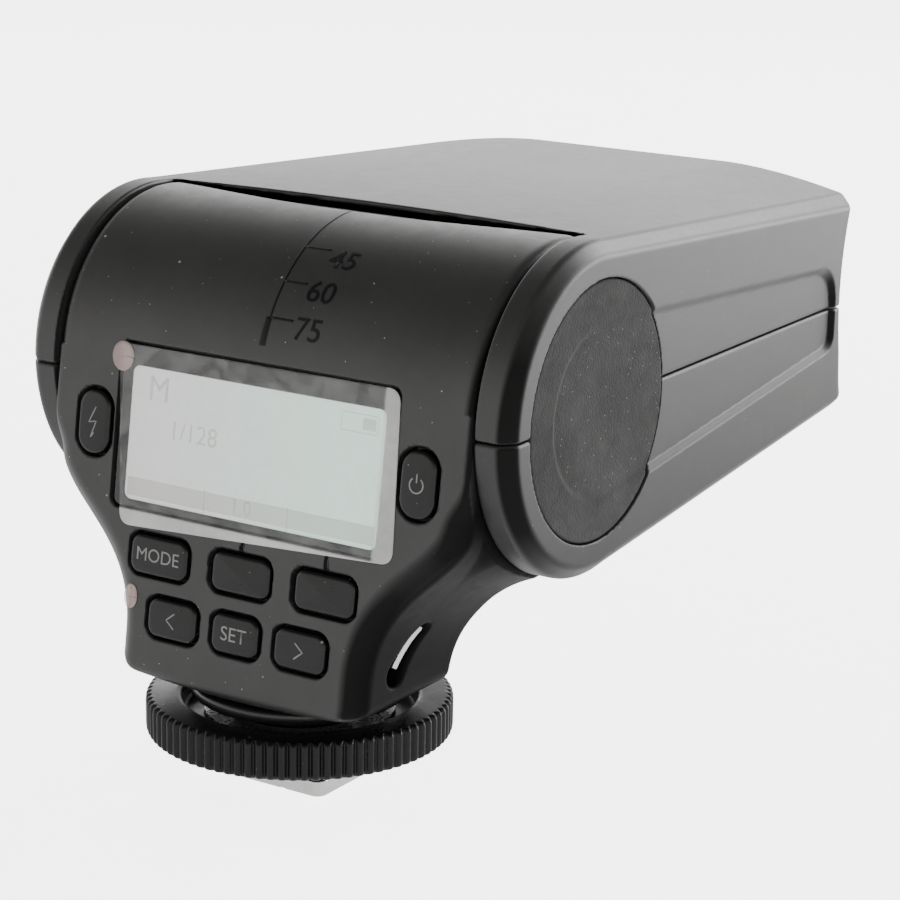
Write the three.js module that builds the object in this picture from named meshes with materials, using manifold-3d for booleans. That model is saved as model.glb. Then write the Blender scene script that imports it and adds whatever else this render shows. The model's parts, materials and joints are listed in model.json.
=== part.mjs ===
// Compact on-camera speedlight: a barrel-shaped body with a control panel and a shoe foot,
// a flash head that tilts about the barrel, a knurled lock ring, eight keys and five shoe contacts.
// Millimetres. +Z up, +X right as seen from the control panel, the panel faces -Y and the head points
// to +Y. The origin is the centre of the foot's underside.
import * as THREE from "three";
import { ConvexGeometry } from "three/addons/geometries/ConvexGeometry.js";
import { mergeVertices } from "three/addons/utils/BufferGeometryUtils.js";
import Module from "manifold-3d";

const wasm = await Module();
wasm.setup();

// ---- driving dimensions ----
const GAP = 0.3; // clearance between neighbouring pieces
const WALL = 1.7; // moulded housing wall

const AXIS = { y: 10.1, z: 44.2 }; // tilt axis, parallel to X
const BARREL = { r: 18.5, half: 28 };
const HEAD = {
  half: 32.75, // half width over the cheeks
  cheekR: 18.7,
  cheekIn: 28.3, // inner face of a cheek
  clearR: 18.85, // hollow that turns around the barrel
  bevel: 1.5,
  lipY: 5.2, // rear edge of the roof, ahead of the axis
  frontY: 63.1,
};
const PANEL_TILT = THREE.MathUtils.degToRad(8); // control panel leans back
const NECK = { half: 16.3, bottom: 10.4, front: 11.8, depth: 36.6, lean: 0.28 };
const SEAM = { lowY: 5.3, highY: 13, highZ: 62.7 }; // split between rear and front shells
const WINDOW = { half: 19, top: 1.9, bottom: -17.6, recess: 1.3 };
const RING = { r: 17.65, bore: 8.2, low: 4, high: 8.4, recessR: 13.5, floor: 5.9 };
const HUB = { bossR: 7.6, r: 12.6, low: 8.5, high: 10.1 };
const FOOT = { half: 9.3, halfLength: 9, plate: 2, railHalf: 6.1, railTop: 3.7 };
const CELL = { r: 7.1, length: 50.5, y: 6, z: 7.3, bevel: 0.6 };
const KEY = { hole: 0.3, flange: 0.8, proud: 0.5 };
const PAD_R = 14.5;
const PIVOT = { r: 4.7, bore: 2.6, flange: 5.8, flangeDepth: 0.4, inner: 25.7, outer: 29.8 };
const ROUND = 48; // sides of a large round piece
const CHEEK_SIDES = 72;
const SMALL_ROUND = 12; // sides of a pin or a screw

// ---- shapes ----
function matrixOf(x, y, z, origin) {
  return new THREE.Matrix4().makeBasis(x, y, z).setPosition(origin);
}

const X = new THREE.Vector3(1, 0, 0);
const Y = new THREE.Vector3(0, 1, 0);
const Z = new THREE.Vector3(0, 0, 1);

// Frame of the control panel: x across, y up in the panel, z out of it. Its origin lies on the line
// where the panel touches the barrel.
const panelUp = new THREE.Vector3(0, Math.sin(PANEL_TILT), Math.cos(PANEL_TILT));
const panelOut = new THREE.Vector3(0, -Math.cos(PANEL_TILT), Math.sin(PANEL_TILT));
const panelOrigin = new THREE.Vector3(0, AXIS.y, AXIS.z).addScaledVector(panelOut, BARREL.r);
const PANEL = matrixOf(X, panelUp, panelOut, panelOrigin);
const TILT_AXIS = new THREE.Matrix4().setPosition(0, AXIS.y, AXIS.z);

function outline(points) {
  return new THREE.Shape(points.map(([u, v]) => new THREE.Vector2(u, v)));
}

// Prism of an (x, y) outline between two heights.
function prismZ(points, low, high) {
  const geometry = new THREE.ExtrudeGeometry(outline(points), {
    depth: high - low,
    bevelEnabled: false,
  });
  return geometry.translate(0, 0, low);
}

// Prism of a (y, z) outline between two x.
function prismX(points, low, high) {
  return prismZ(points, low, high).applyMatrix4(matrixOf(Y, Z, X, new THREE.Vector3()));
}

function box(x, y, z) {
  const geometry = new THREE.BoxGeometry(x[1] - x[0], y[1] - y[0], z[1] - z[0]);
  return geometry.translate((x[0] + x[1]) / 2, (y[0] + y[1]) / 2, (z[0] + z[1]) / 2);
}

function cylinderZ(radius, low, high, x = 0, y = 0, sides = ROUND) {
  const geometry = new THREE.CylinderGeometry(radius, radius, high - low, sides);
  return geometry.rotateX(Math.PI / 2).translate(x, y, (low + high) / 2);
}

function cylinderX(radius, low, high, y = 0, z = 0, sides = ROUND) {
  const geometry = new THREE.CylinderGeometry(radius, radius, high - low, sides);
  return geometry.rotateZ(-Math.PI / 2).translate((low + high) / 2, y, z);
}

// Turned piece about Z from its (radius, height) profile.
function turned(profile, sides = ROUND) {
  const points = profile.map(([r, h]) => new THREE.Vector2(r, h));
  return new THREE.LatheGeometry(points, sides).rotateX(Math.PI / 2);
}

function arc(cx, cy, r, from, to, steps) {
  const points = [];
  for (let i = 0; i <= steps; i++) {
    const a = THREE.MathUtils.degToRad(from + ((to - from) * i) / steps);
    points.push([cx + r * Math.cos(a), cy + r * Math.sin(a)]);
  }
  return points;
}

function roundedRect(cx, cy, w, h, r, steps = 3) {
  const [a, b] = [w / 2 - r, h / 2 - r];
  return [
    ...arc(cx + a, cy + b, r, 0, 90, steps),
    ...arc(cx - a, cy + b, r, 90, 180, steps),
    ...arc(cx - a, cy - b, r, 180, 270, steps),
    ...arc(cx + a, cy - b, r, 270, 360, steps),
  ];
}

// ---- solids ----
function solid(geometry) {
  const bare = geometry.clone();
  for (const name of Object.keys(bare.attributes)) {
    if (name !== "position") bare.deleteAttribute(name);
  }
  const merged = mergeVertices(bare, 1e-4);
  return new wasm.Manifold(
    new wasm.Mesh({
      numProp: 3,
      vertProperties: new Float32Array(merged.attributes.position.array),
      triVerts: new Uint32Array(merged.index.array),
    }),
  );
}

function joined(...geometries) {
  return geometries.map(solid).reduce((sum, part) => sum.add(part));
}

function without(body, ...geometries) {
  return geometries.map(solid).reduce((rest, part) => rest.subtract(part), body);
}

function geometryOf(body) {
  const mesh = body.getMesh();
  const geometry = new THREE.BufferGeometry();
  geometry.setAttribute("position", new THREE.BufferAttribute(new Float32Array(mesh.vertProperties), 3));
  geometry.setIndex(new THREE.BufferAttribute(new Uint32Array(mesh.triVerts), 1));
  geometry.computeVertexNormals();
  return geometry;
}

// ---- finishes: colour, roughness, metalness ----
const FINISH = {
  satinBlack: [0x2b2b2c, 0.55, 0],
  panelBlack: [0x343435, 0.55, 0],
  padBlack: [0x3a3a3a, 0.95, 0],
  glossBlack: [0x121213, 0.25, 0],
  keyBlack: [0x161617, 0.3, 0],
  clear: [0xe6ecea, 0.08, 0],
  film: [0xeef0ee, 0.15, 0],
  display: [0xc4d8cd, 0.4, 0],
  board: [0x1d5a38, 0.5, 0],
  rubber: [0x4a4c4e, 0.9, 0],
  steel: [0xb9bcc0, 0.3, 1],
  gold: [0xc9a24a, 0.3, 1],
  red: [0x6e0f12, 0.2, 0],
  cell: [0x2f4f7a, 0.35, 0.3],
  lens: [0xdfe6e8, 0.1, 0],
  mirror: [0xd8dadd, 0.15, 1],
  glass: [0xe8eef0, 0.05, 0],
  sleeve: [0x151515, 0.4, 0],
  copper: [0x8c2f22, 0.6, 0],
};

function addPiece(group, name, shape, finish) {
  const [color, roughness, metalness] = FINISH[finish];
  const geometry = shape.isBufferGeometry ? shape : geometryOf(shape);
  const material = new THREE.MeshStandardMaterial({ color, roughness, metalness });
  const mesh = new THREE.Mesh(geometry, material);
  mesh.name = name;
  group.add(mesh);
}

function groupAt(matrix, parent) {
  const group = new THREE.Group();
  group.applyMatrix4(matrix);
  parent.add(group);
  return group;
}

// ---- body housing ----
// Half outline of the panel and neck in the panel frame: full barrel width above, an S-curve, a neck.
function neckOutline(inset) {
  const neck = NECK.half - inset;
  const full = BARREL.half - inset;
  const curve = new THREE.CubicBezierCurve(
    new THREE.Vector2(neck, -31),
    new THREE.Vector2(neck, -19.5),
    new THREE.Vector2(full, -18.3),
    new THREE.Vector2(full, -9.5),
  );
  const right = [[neck, -NECK.depth - 8], ...curve.getPoints(14).map((p) => [p.x, p.y]), [full, 0]];
  return [...right, ...right.map(([x, y]) => [-x, y]).reverse()];
}

// The outline swept inwards and down from the panel; z in the panel frame runs from low to high.
function neckBlock(inset, low, high) {
  const lean = new THREE.Matrix4().makeShear(0, 0, 0, 0, 0, 0);
  lean.elements[9] = NECK.lean;
  return prismZ(neckOutline(inset), low, high).applyMatrix4(lean).applyMatrix4(PANEL);
}

// Everything behind the split between the shells, moved forward by the given distance.
function behindSeam(shift) {
  const slope = (SEAM.highY - SEAM.lowY) / (SEAM.highZ - NECK.bottom);
  const at = (z) => SEAM.lowY + slope * (z - NECK.bottom) + shift;
  return prismX([[-60, 0], [at(0), 0], [at(90), 90], [-60, 90]], -50, 50);
}

const housingOuter = joined(
  cylinderX(BARREL.r, -BARREL.half, BARREL.half, AXIS.y, AXIS.z),
  geometryOf(
    solid(neckBlock(0, -34, 0)).intersect(solid(box([-40, 40], [-40, NECK.front], [NECK.bottom, 60]))),
  ),
);
const housingInner = joined(
  cylinderX(BARREL.r - WALL, WALL - BARREL.half, BARREL.half - WALL, AXIS.y, AXIS.z),
  geometryOf(
    solid(neckBlock(WALL, -34, -WALL)).intersect(
      solid(box([-40, 40], [-40, NECK.front - WALL], [NECK.bottom + WALL, AXIS.z])),
    ),
  ),
);
const housing = without(
  housingOuter.subtract(housingInner),
  cylinderX(PIVOT.r + GAP, -BARREL.half - 1, BARREL.half + 1, AXIS.y, AXIS.z, 32),
);

// Keys on the panel: centre in the panel frame, size, corner radius.
const ROW_1 = -22;
const ROW_2 = -28.8;
const KEYS = {
  button_flash_test: { x: -22, y: -8.2, w: 4.5, h: 7.4, r: 2.1 },
  button_power: { x: 22, y: -8.2, w: 4.5, h: 7.4, r: 2.1 },
  button_mode: { x: -11.3, y: ROW_1, w: 8, h: 4.5, r: 1.3 },
  button_soft_left: { x: 0, y: ROW_1, w: 8, h: 4.5, r: 1.3 },
  button_soft_right: { x: 11.3, y: ROW_1, w: 8, h: 4.5, r: 1.3 },
  button_left: { x: -8.8, y: ROW_2, w: 6.8, h: 4.5, r: 1.3 },
  button_set: { x: 0, y: ROW_2, w: 6.4, h: 4.5, r: 1.3 },
  button_right: { x: 8.8, y: ROW_2, w: 6.8, h: 4.5, r: 1.3 },
};

function keyPrism(key, grow, low, high) {
  const points = roundedRect(key.x, key.y, key.w + 2 * grow, key.h + 2 * grow, key.r + grow);
  return prismZ(points, low, high);
}

// Service port: a leaning slot through the neck's right wall.
const PORT = { y: -1.7, z: 17, length: 9.6, width: 3.5, lean: 45 };
const portAxis = new THREE.Vector3(0, Math.SQRT1_2, Math.SQRT1_2);
const PORT_FRAME = matrixOf(
  portAxis,
  new THREE.Vector3().crossVectors(X, portAxis),
  X,
  new THREE.Vector3(0, PORT.y, PORT.z),
);

function portPrism(length, width, low, high, radius) {
  return prismZ(roundedRect(0, 0, length, width, radius), low, high).applyMatrix4(PORT_FRAME);
}

const windowMid = (WINDOW.top + WINDOW.bottom) / 2;
const windowHigh = WINDOW.top - WINDOW.bottom;

function makeRearShell() {
  const holes = Object.values(KEYS).map((key) => keyPrism(key, KEY.hole, -4, 3).applyMatrix4(PANEL));
  const recess = roundedRect(0, windowMid, 2 * WINDOW.half, windowHigh, 1);
  return without(
    housing.intersect(solid(behindSeam(0))),
    prismZ(recess, -WINDOW.recess, 3).applyMatrix4(PANEL),
    prismZ(roundedRect(0, -8.4, 35.4, 16.6, 0.8), -4, 3).applyMatrix4(PANEL),
    portPrism(PORT.length, PORT.width, 12, 22, 1.6),
    ...holes,
  );
}

// Battery opening on the barrel's front, as an angle about the axis.
const HATCH = { from: -40, to: 40, half: 25.6 };

function barrelSector(inner, outer, from, to, half) {
  const points = [...arc(0, 0, outer, from, to, 20), ...arc(0, 0, inner, to, from, 20)];
  return prismX(points, -half, half).applyMatrix4(TILT_AXIS);
}

const ASSIST = { x: 0, z: 17.5, w: 11, h: 6.5 };

function makeFrontShell() {
  const lamp = roundedRect(ASSIST.x, ASSIST.z, ASSIST.w, ASSIST.h, 1.5);
  const opening = prismZ(lamp, -20, 0).applyMatrix4(matrixOf(X, Z, Y.clone().negate(), new THREE.Vector3()));
  return without(
    housing.subtract(solid(behindSeam(GAP))),
    barrelSector(BARREL.r - WALL - 1, BARREL.r + 1, HATCH.from, HATCH.to, HATCH.half),
    opening,
    ...BODY_SCREWS.map(({ x }) => screwHole(x)),
  );
}

// Two screws hold the shells together from the front of the neck.
const BODY_SCREWS = [
  { name: "body_screw_left", x: -9.5 },
  { name: "body_screw_right", x: 9.5 },
];
const FACING_FRONT = matrixOf(X.clone().negate(), Z, Y, new THREE.Vector3(0, NECK.front, 14.2));

function screwHole(x) {
  const counterbore = cylinderZ(1.5, -1.1, 1, -x, 0, SMALL_ROUND);
  const shaft = cylinderZ(0.9, -4, 0, -x, 0, SMALL_ROUND);
  return joinedGeometry(counterbore, shaft).applyMatrix4(FACING_FRONT);
}

function joinedGeometry(...geometries) {
  return geometryOf(joined(...geometries));
}

function screw(headR, headH, shankR, length) {
  const slot = box([-headR - 1, headR + 1], [-0.18, 0.18], [-0.35, 1]);
  const head = cylinderZ(headR, -headH, 0, 0, 0, SMALL_ROUND);
  const shank = cylinderZ(shankR, -length, -headH / 2, 0, 0, 8);
  return without(joined(head, shank), slot);
}

// ---- the object ----
const speedlight = new THREE.Group();
speedlight.name = "speedlight";

const body = groupAt(new THREE.Matrix4(), speedlight);
addPiece(body, "rear_shell", makeRearShell(), "panelBlack");
addPiece(body, "front_shell", makeFrontShell(), "satinBlack");
const hatchGap = 1; // degrees of clearance round the battery cover
addPiece(
  body,
  "battery_cover",
  barrelSector(BARREL.r - WALL, BARREL.r, HATCH.from + hatchGap, HATCH.to - hatchGap, HATCH.half - GAP),
  "satinBlack",
);
for (const { name, x } of BODY_SCREWS) {
  const place = FACING_FRONT.clone().multiply(new THREE.Matrix4().setPosition(-x, 0, -0.1));
  addPiece(groupAt(place, body), name, screw(1.2, 0.9, 0.6, 3.6), "steel");
}
const assist = roundedRect(ASSIST.x, ASSIST.z, ASSIST.w - 2 * GAP, ASSIST.h - 2 * GAP, 1.2);
addPiece(
  body,
  "assist_window",
  prismZ(assist, -NECK.front, WALL - NECK.front).applyMatrix4(
    matrixOf(X, Z, Y.clone().negate(), new THREE.Vector3()),
  ),
  "red",
);

// Service port connector behind its slot.
const portShell = without(
  solid(portPrism(7.6, 2.7, 8.6, 14.1, 0.7)),
  portPrism(6.8, 1.9, 9.4, 15, 0.5),
);
addPiece(body, "usb_shell", portShell, "steel");
addPiece(body, "usb_tongue", portPrism(5, 0.6, 9.7, 13.6, 0.2), "glossBlack");

// Display, board and keypad, in the panel frame.
const panel = groupAt(PANEL, body);
addPiece(
  panel,
  "lcd_window",
  prismZ(roundedRect(0, windowMid, 2 * WINDOW.half - 0.4, windowHigh - 0.4, 0.8), -1.2, -0.15),
  "clear",
);
addPiece(panel, "screen_film", prismZ(roundedRect(0.3, -8.2, 36.6, 18.2, 0.6), -0.05, 0.15), "film");
addPiece(panel, "lcd_module", box([-18.4, 18.4], [-17.2, 0.6], [-4.9, -2.1]), "display");
const BOARD = [[-21, 1], [-21, -14], [-13, -21], [-13, -30], [13, -30], [13, -21], [21, -14], [21, 1]];
addPiece(panel, "main_board", prismZ(BOARD, -7.2, -5.6), "board");
addPiece(panel, "keypad_mat", box([-13, 13], [-31, -19.2], [-5.1, -3.8]), "rubber");
for (const [name, side] of [["tact_switch_left", -1], ["tact_switch_right", 1]]) {
  const reach = [side * 22 - 2, side * 22 + 2];
  addPiece(panel, name, box(reach, [-10.2, -6.2], [-5.2, -3.8]), "steel");
}

// Keys: a cap in its hole and a flange that holds it behind the wall.
for (const [name, key] of Object.entries(KEYS)) {
  const flange = KEY.flange;
  const shape = joined(keyPrism(key, 0, -2.5, KEY.proud), keyPrism(key, flange, -3, -WALL - GAP));
  addPiece(panel, name, shape, "keyBlack");
}

// Cells, contacts and detent leaf, about the tilt axis.
const atAxis = groupAt(TILT_AXIS, body);
const CELL_NUB = { r: 2.6, length: 1.2 };
function makeCell() {
  const half = CELL.length / 2;
  const shoulder = half - CELL_NUB.length;
  const profile = [
    [0, -half], [CELL.r - CELL.bevel, -half], [CELL.r, -half + CELL.bevel], [CELL.r, shoulder - CELL.bevel],
    [CELL.r - CELL.bevel, shoulder], [CELL_NUB.r, shoulder], [CELL_NUB.r, half], [0, half],
  ];
  return turned(profile, 24);
}
for (const [name, side] of [["cell_upper", 1], ["cell_lower", -1]]) {
  const place = new THREE.Matrix4().makeRotationY((side * Math.PI) / 2).setPosition(0, CELL.y, side * CELL.z);
  addPiece(groupAt(place, atAxis), name, makeCell(), "cell");
}
const CONTACT_X = [25.6, 26];
const contactY = [6.8, 10.6];
addPiece(atAxis, "contact_bridge", box([-CONTACT_X[1], -CONTACT_X[0]], contactY, [-10.5, 10.5]), "gold");
addPiece(atAxis, "contact_upper", box(CONTACT_X, contactY, [3.5, 10.5]), "gold");
addPiece(atAxis, "contact_lower", box(CONTACT_X, contactY, [-10.5, -3.5]), "gold");
addPiece(atAxis, "detent_leaf", box([25.6, 26.1], [-5, 4.5], [-6.9, -6.4]), "steel");

// ---- foot ----
const LOCK_PIN = { y: 5, r: 1.1, hole: 1.4 };
const SHOE_PINS = [
  { name: "shoe_contact_centre", x: 0, y: -1, r: 1 },
  { name: "shoe_contact_1", x: -4.2, y: -2.6, r: 0.6 },
  { name: "shoe_contact_2", x: -1.5, y: -5, r: 0.6 },
  { name: "shoe_contact_3", x: 1.5, y: -5, r: 0.6 },
  { name: "shoe_contact_4", x: 4.2, y: -2.6, r: 0.6 },
];
const INSERT = { half: 5.7, low: -6.5, high: 2.9 };
const FOOT_SCREWS = [-1, 1].flatMap((sx) => [[sx * 4.2, 7.4], [sx * 4.2, -7.9]]);

const foot = groupAt(new THREE.Matrix4(), speedlight);
function makeFootBase() {
  const hub = turned([
    [0, FOOT.railTop - 0.2], [HUB.bossR, FOOT.railTop - 0.2], [HUB.bossR, HUB.low], [HUB.r, HUB.low],
    [HUB.r, HUB.high], [0, HUB.high],
  ]);
  const rail = box([-FOOT.railHalf, FOOT.railHalf], [-FOOT.halfLength, FOOT.halfLength], [
    FOOT.plate + GAP,
    FOOT.railTop,
  ]);
  return without(
    joined(rail, hub),
    cylinderZ(LOCK_PIN.hole, 1, 8.6, 0, LOCK_PIN.y, 24),
    box([-1.6, 1.6], [LOCK_PIN.y, HUB.bossR + 1], [RING.floor, HUB.low - 0.05]),
    ...SHOE_PINS.map((pin) => cylinderZ(pin.r + 0.65, 1, 5, pin.x, pin.y, SMALL_ROUND)),
    ...FOOT_SCREWS.map(([x, y]) => cylinderZ(0.8, 1, 3.3, x, y, 12)),
  );
}
addPiece(foot, "foot_base", makeFootBase(), "glossBlack");

function makeFootPlate() {
  const plate = prismZ(roundedRect(0, 0, 2 * FOOT.half, 2 * FOOT.halfLength, 1.2), 0, FOOT.plate);
  return without(
    solid(plate),
    box([-INSERT.half - GAP, INSERT.half + GAP], [INSERT.low - GAP, INSERT.high + GAP], [-1, 3]),
    cylinderZ(LOCK_PIN.hole, -1, 3, 0, LOCK_PIN.y, 24),
    ...FOOT_SCREWS.flatMap(([x, y]) => [cylinderZ(0.95, -1, 1, x, y, 16), cylinderZ(0.75, 0, 3, x, y, 12)]),
  );
}
addPiece(foot, "foot_plate", makeFootPlate(), "steel");
const insert = box([-INSERT.half, INSERT.half], [INSERT.low, INSERT.high], [0.1, 1.9]);
const pinHoles = SHOE_PINS.map(({ r, x, y }) => cylinderZ(r + 0.15, -1, 3, x, y, SMALL_ROUND));
addPiece(foot, "contact_block", without(solid(insert), ...pinHoles), "glossBlack");
FOOT_SCREWS.forEach(([x, y], index) => {
  const down = new THREE.Matrix4().makeRotationX(Math.PI).setPosition(x, y, 0.15);
  addPiece(groupAt(down, foot), `foot_screw_${index + 1}`, screw(0.8, 0.7, 0.5, 3), "steel");
});
const PIN = { tip: -0.6, shoulder: -0.2, collarLow: 2, collarHigh: 2.6, collar: 0.35 };
for (const pin of SHOE_PINS) {
  const collarR = pin.r + PIN.collar;
  const profile = [
    [0, PIN.tip], [pin.r * 0.7, PIN.tip], [pin.r, PIN.shoulder], [pin.r, PIN.collarLow],
    [collarR, PIN.collarLow], [collarR, PIN.collarHigh], [0, PIN.collarHigh],
  ];
  const shape = turned(profile, SMALL_ROUND);
  addPiece(groupAt(new THREE.Matrix4().setPosition(pin.x, pin.y, 0), foot), pin.name, shape, "gold");
}

// ---- lock: ring, washer and locking pin, which climb together on the thread ----
const lock = groupAt(new THREE.Matrix4(), speedlight);
addPiece(
  lock,
  "lock_ring",
  turned([
    [RING.bore, RING.low], [RING.r - 0.5, RING.low], [RING.r, RING.low + 0.5], [RING.r, RING.high - 0.5],
    [RING.r - 0.5, RING.high], [RING.recessR, RING.high], [RING.recessR, RING.floor], [RING.bore, RING.floor],
    [RING.bore, RING.low],
  ], ROUND),
  "satinBlack",
);
const washerLow = RING.floor + GAP;
const washerHigh = washerLow + 0.4;
const washer = without(
  joined(
    cylinderZ(11, washerLow, washerHigh, 0, 0, ROUND),
    box([-1.2, 1.2], [HUB.bossR, HUB.bossR + 1.5], [washerLow, washerHigh]),
  ),
  cylinderZ(HUB.bossR + 0.4, washerLow - 1, washerHigh + 1, 0, 0, ROUND),
);
const washerArm = box([-1.2, 1.2], [LOCK_PIN.y + LOCK_PIN.r + 0.1, HUB.bossR + 1], [washerLow, washerHigh]);
addPiece(lock, "lock_washer", washer.add(solid(washerArm)), "steel");
addPiece(lock, "lock_pin", cylinderZ(LOCK_PIN.r, -1, 6.9, 0, LOCK_PIN.y, 24), "steel");

// ---- head, about the tilt axis ----
const head = groupAt(TILT_AXIS, speedlight);

// Half section across the head: roof with a sloping shoulder, bevels, straight sides.
function headSection(y, roof, shoulderX, shoulderZ, edgeZ, floor, inset) {
  const side = HEAD.half - inset;
  const bevel = HEAD.bevel;
  const right = [
    [shoulderX, shoulderZ - inset], [side - bevel, edgeZ - inset], [side, edgeZ - bevel - inset],
    [side, floor + bevel + inset], [side - bevel, floor + inset],
  ];
  const points = [[0, roof - inset], ...right, ...right.map(([x, z]) => [-x, z])];
  return points.map(([x, z]) => new THREE.Vector3(x, y, z));
}

function headHull(inset, frontY) {
  return new ConvexGeometry([
    ...headSection(0, 18.6, 26, 18.4, 17.9, -HEAD.cheekR + 0.3, inset),
    ...headSection(frontY, 17.3, 23, 17, 14.8, -8.9, inset),
  ]);
}

// Concave nose: an arc across the front seen from the side.
const noseCut = prismX([[90, -30], ...arc(91, 1.5, 30.6, 222, 138, 14), [90, 30]], -40, 40);

function cheeks() {
  const bevel = HEAD.bevel;
  const profile = [
    [0, HEAD.cheekIn], [HEAD.cheekR, HEAD.cheekIn], [HEAD.cheekR, HEAD.half - bevel],
    [HEAD.cheekR - bevel, HEAD.half], [0, HEAD.half],
  ];
  const right = turned(profile, CHEEK_SIDES).rotateY(Math.PI / 2);
  return [right, right.clone().rotateZ(Math.PI)];
}

const WIRE_SLOT = [29.2, 31];
const wireSlot = (side) => {
  const reach = WIRE_SLOT.map((x) => side * x).sort((a, b) => a - b);
  return box(reach, [-7, 25], [-6.5, 6.5]);
};

// Side channel: a round end about the axis that runs forward as a tapering band.
const CHANNEL = [
  ...arc(0, 0, 9.9, 80, 265, 14), [30.3, -7.2], [54.9, -4.5], [58.5, -1], [58.6, 2.4],
  ...arc(55.4, 3.6, 3.4, 0, 80, 3),
];

function makeHead() {
  const clearHalf = HEAD.cheekIn;
  const outer = joined(headHull(0, HEAD.frontY + 1), ...cheeks());
  const shaped = without(
    outer,
    noseCut,
    cylinderX(HEAD.clearR, -clearHalf, clearHalf, 0, 0, CHEEK_SIDES),
    box([-clearHalf, clearHalf], [-30, HEAD.lipY], [0, 30]),
    box([-clearHalf, clearHalf], [-30, 6.5], [-30, 0.1]),
  );
  const cavity = without(
    solid(headHull(WALL, HEAD.frontY - 3)).intersect(solid(box([-40, 40], [10, HEAD.frontY - 3], [-30, 30]))),
    cylinderX(HEAD.clearR + WALL, -40, 40, 0, 0, CHEEK_SIDES),
  );
  const holes = [-1, 1].flatMap((side) => {
    const reach = (a, b) => [side * a, side * b].sort((p, q) => p - q);
    return [
      wireSlot(side),
      cylinderX(PIVOT.r + GAP, ...reach(28, WIRE_SLOT[0] + 0.2), 0, 0, 32),
      cylinderX(PAD_R + 0.15, ...reach(32, 34), 0, 0, ROUND),
      prismX(CHANNEL, ...reach(32.15, 34)),
    ];
  });
  const mouth = prismX([[50, -6.6], [70, -6.6], [70, 13], [50, 13]], -28.4, 28.4);
  return without(shaped.subtract(cavity), mouth, ...holes, ...HEAD_SCREWS.map(headScrewHole));
}

// Screws under the head, square to its sloping floor.
const HEAD_SCREWS = [
  { name: "head_screw_left", x: -26 },
  { name: "head_screw_right", x: 26 },
];
const FLOOR_SLOPE = Math.atan2(HEAD.cheekR - 0.3 - 8.9, HEAD.frontY + 1);
const SCREW_Y = 31;
function headScrewPlace(x, sink) {
  const z = -HEAD.cheekR + 0.3 + Math.tan(FLOOR_SLOPE) * SCREW_Y;
  const place = new THREE.Matrix4().makeRotationX(Math.PI + FLOOR_SLOPE).setPosition(x, SCREW_Y, z + sink);
  return place;
}
function headScrewHole({ x }) {
  const counterbore = cylinderZ(1.5, -1, 1, 0, 0, SMALL_ROUND);
  const shaft = cylinderZ(0.9, -4, 0, 0, 0, SMALL_ROUND);
  return joinedGeometry(counterbore, shaft).applyMatrix4(headScrewPlace(x, 0));
}

// The shells part along a line that climbs a little towards the nose.
function aboveSeam(shift) {
  return prismX([[-30, shift], [15, shift + 0.3], [80, shift + 1.3], [80, 40], [-30, 40]], -40, 40);
}

const headSolid = makeHead();
addPiece(head, "head_upper_shell", headSolid.intersect(solid(aboveSeam(0.1))), "satinBlack");
addPiece(head, "head_lower_shell", headSolid.subtract(solid(aboveSeam(-0.1))), "satinBlack");
for (const { name, x } of HEAD_SCREWS) {
  addPiece(groupAt(headScrewPlace(x, 0.1), head), name, screw(1.2, 0.8, 0.6, 3.4), "steel");
}

const PAD = { inner: 32.1, outer: 32.6, channelFloor: 32.4 };
for (const [name, side] of [["side_pad_left", -1], ["side_pad_right", 1]]) {
  const reach = (a, b) => [side * a, side * b].sort((p, q) => p - q);
  const disc = cylinderX(PAD_R, ...reach(PAD.inner, PAD.outer));
  const channel = prismX(CHANNEL, ...reach(PAD.channelFloor, PAD.outer + 1));
  addPiece(head, name, without(solid(disc), channel), "padBlack");
}

// Hollow pivots: fixed in the cheeks, they turn in the barrel's end walls.
for (const [name, side] of [["pivot_tube_left", -1], ["pivot_tube_right", 1]]) {
  const { bore, r, flange, inner, outer, flangeDepth } = PIVOT;
  const profile = [
    [bore, inner], [flange, inner], [flange, inner + flangeDepth], [r, inner + flangeDepth],
    [r, outer - flangeDepth], [flange, outer - flangeDepth], [flange, outer], [bore, outer], [bore, inner],
  ];
  addPiece(head, name, turned(profile, 24).rotateY((side * Math.PI) / 2), "glossBlack");
}

// Nose: bezel, lens, reflector and tube.
const OPENING = { half: 26, y: [57, 60.2], low: -4.4, high: 10.8 };
const BEZEL = { half: 28.1, low: -6.3, high: 12.7 };
const frame = box([-BEZEL.half, BEZEL.half], OPENING.y, [BEZEL.low, BEZEL.high]);
const opening = box([-OPENING.half, OPENING.half], [50, 70], [OPENING.low, OPENING.high]);
addPiece(head, "lens_bezel", without(solid(frame), opening), "glossBlack");
const lensHalf = OPENING.half - GAP;
const lensZ = [OPENING.low + GAP, OPENING.high - GAP];
addPiece(head, "flat_lens", box([-lensHalf, lensHalf], [57.4, 59.4], lensZ), "lens");
const TROUGH = { y: 50.5, z: 3.2, half: 25, r: 6.2, wall: 0.4, mouthY: 56.6, mouth: 7.4 };
const innerMouth = TROUGH.mouth - TROUGH.wall;
const trough = [
  ...arc(TROUGH.y, TROUGH.z, TROUGH.r, 115, 245, 12),
  [TROUGH.mouthY, TROUGH.z - TROUGH.mouth], [TROUGH.mouthY, TROUGH.z - innerMouth],
  ...arc(TROUGH.y, TROUGH.z, TROUGH.r - TROUGH.wall, 245, 115, 12),
  [TROUGH.mouthY, TROUGH.z + innerMouth], [TROUGH.mouthY, TROUGH.z + TROUGH.mouth],
];
addPiece(head, "reflector", prismX(trough, -TROUGH.half, TROUGH.half), "mirror");
const TUBE = { r: 1.7, half: TROUGH.half - 1, y: TROUGH.y - 1.5 };
addPiece(head, "flash_tube", cylinderX(TUBE.r, -TUBE.half, TUBE.half, TUBE.y, TROUGH.z, 16), "glass");
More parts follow.
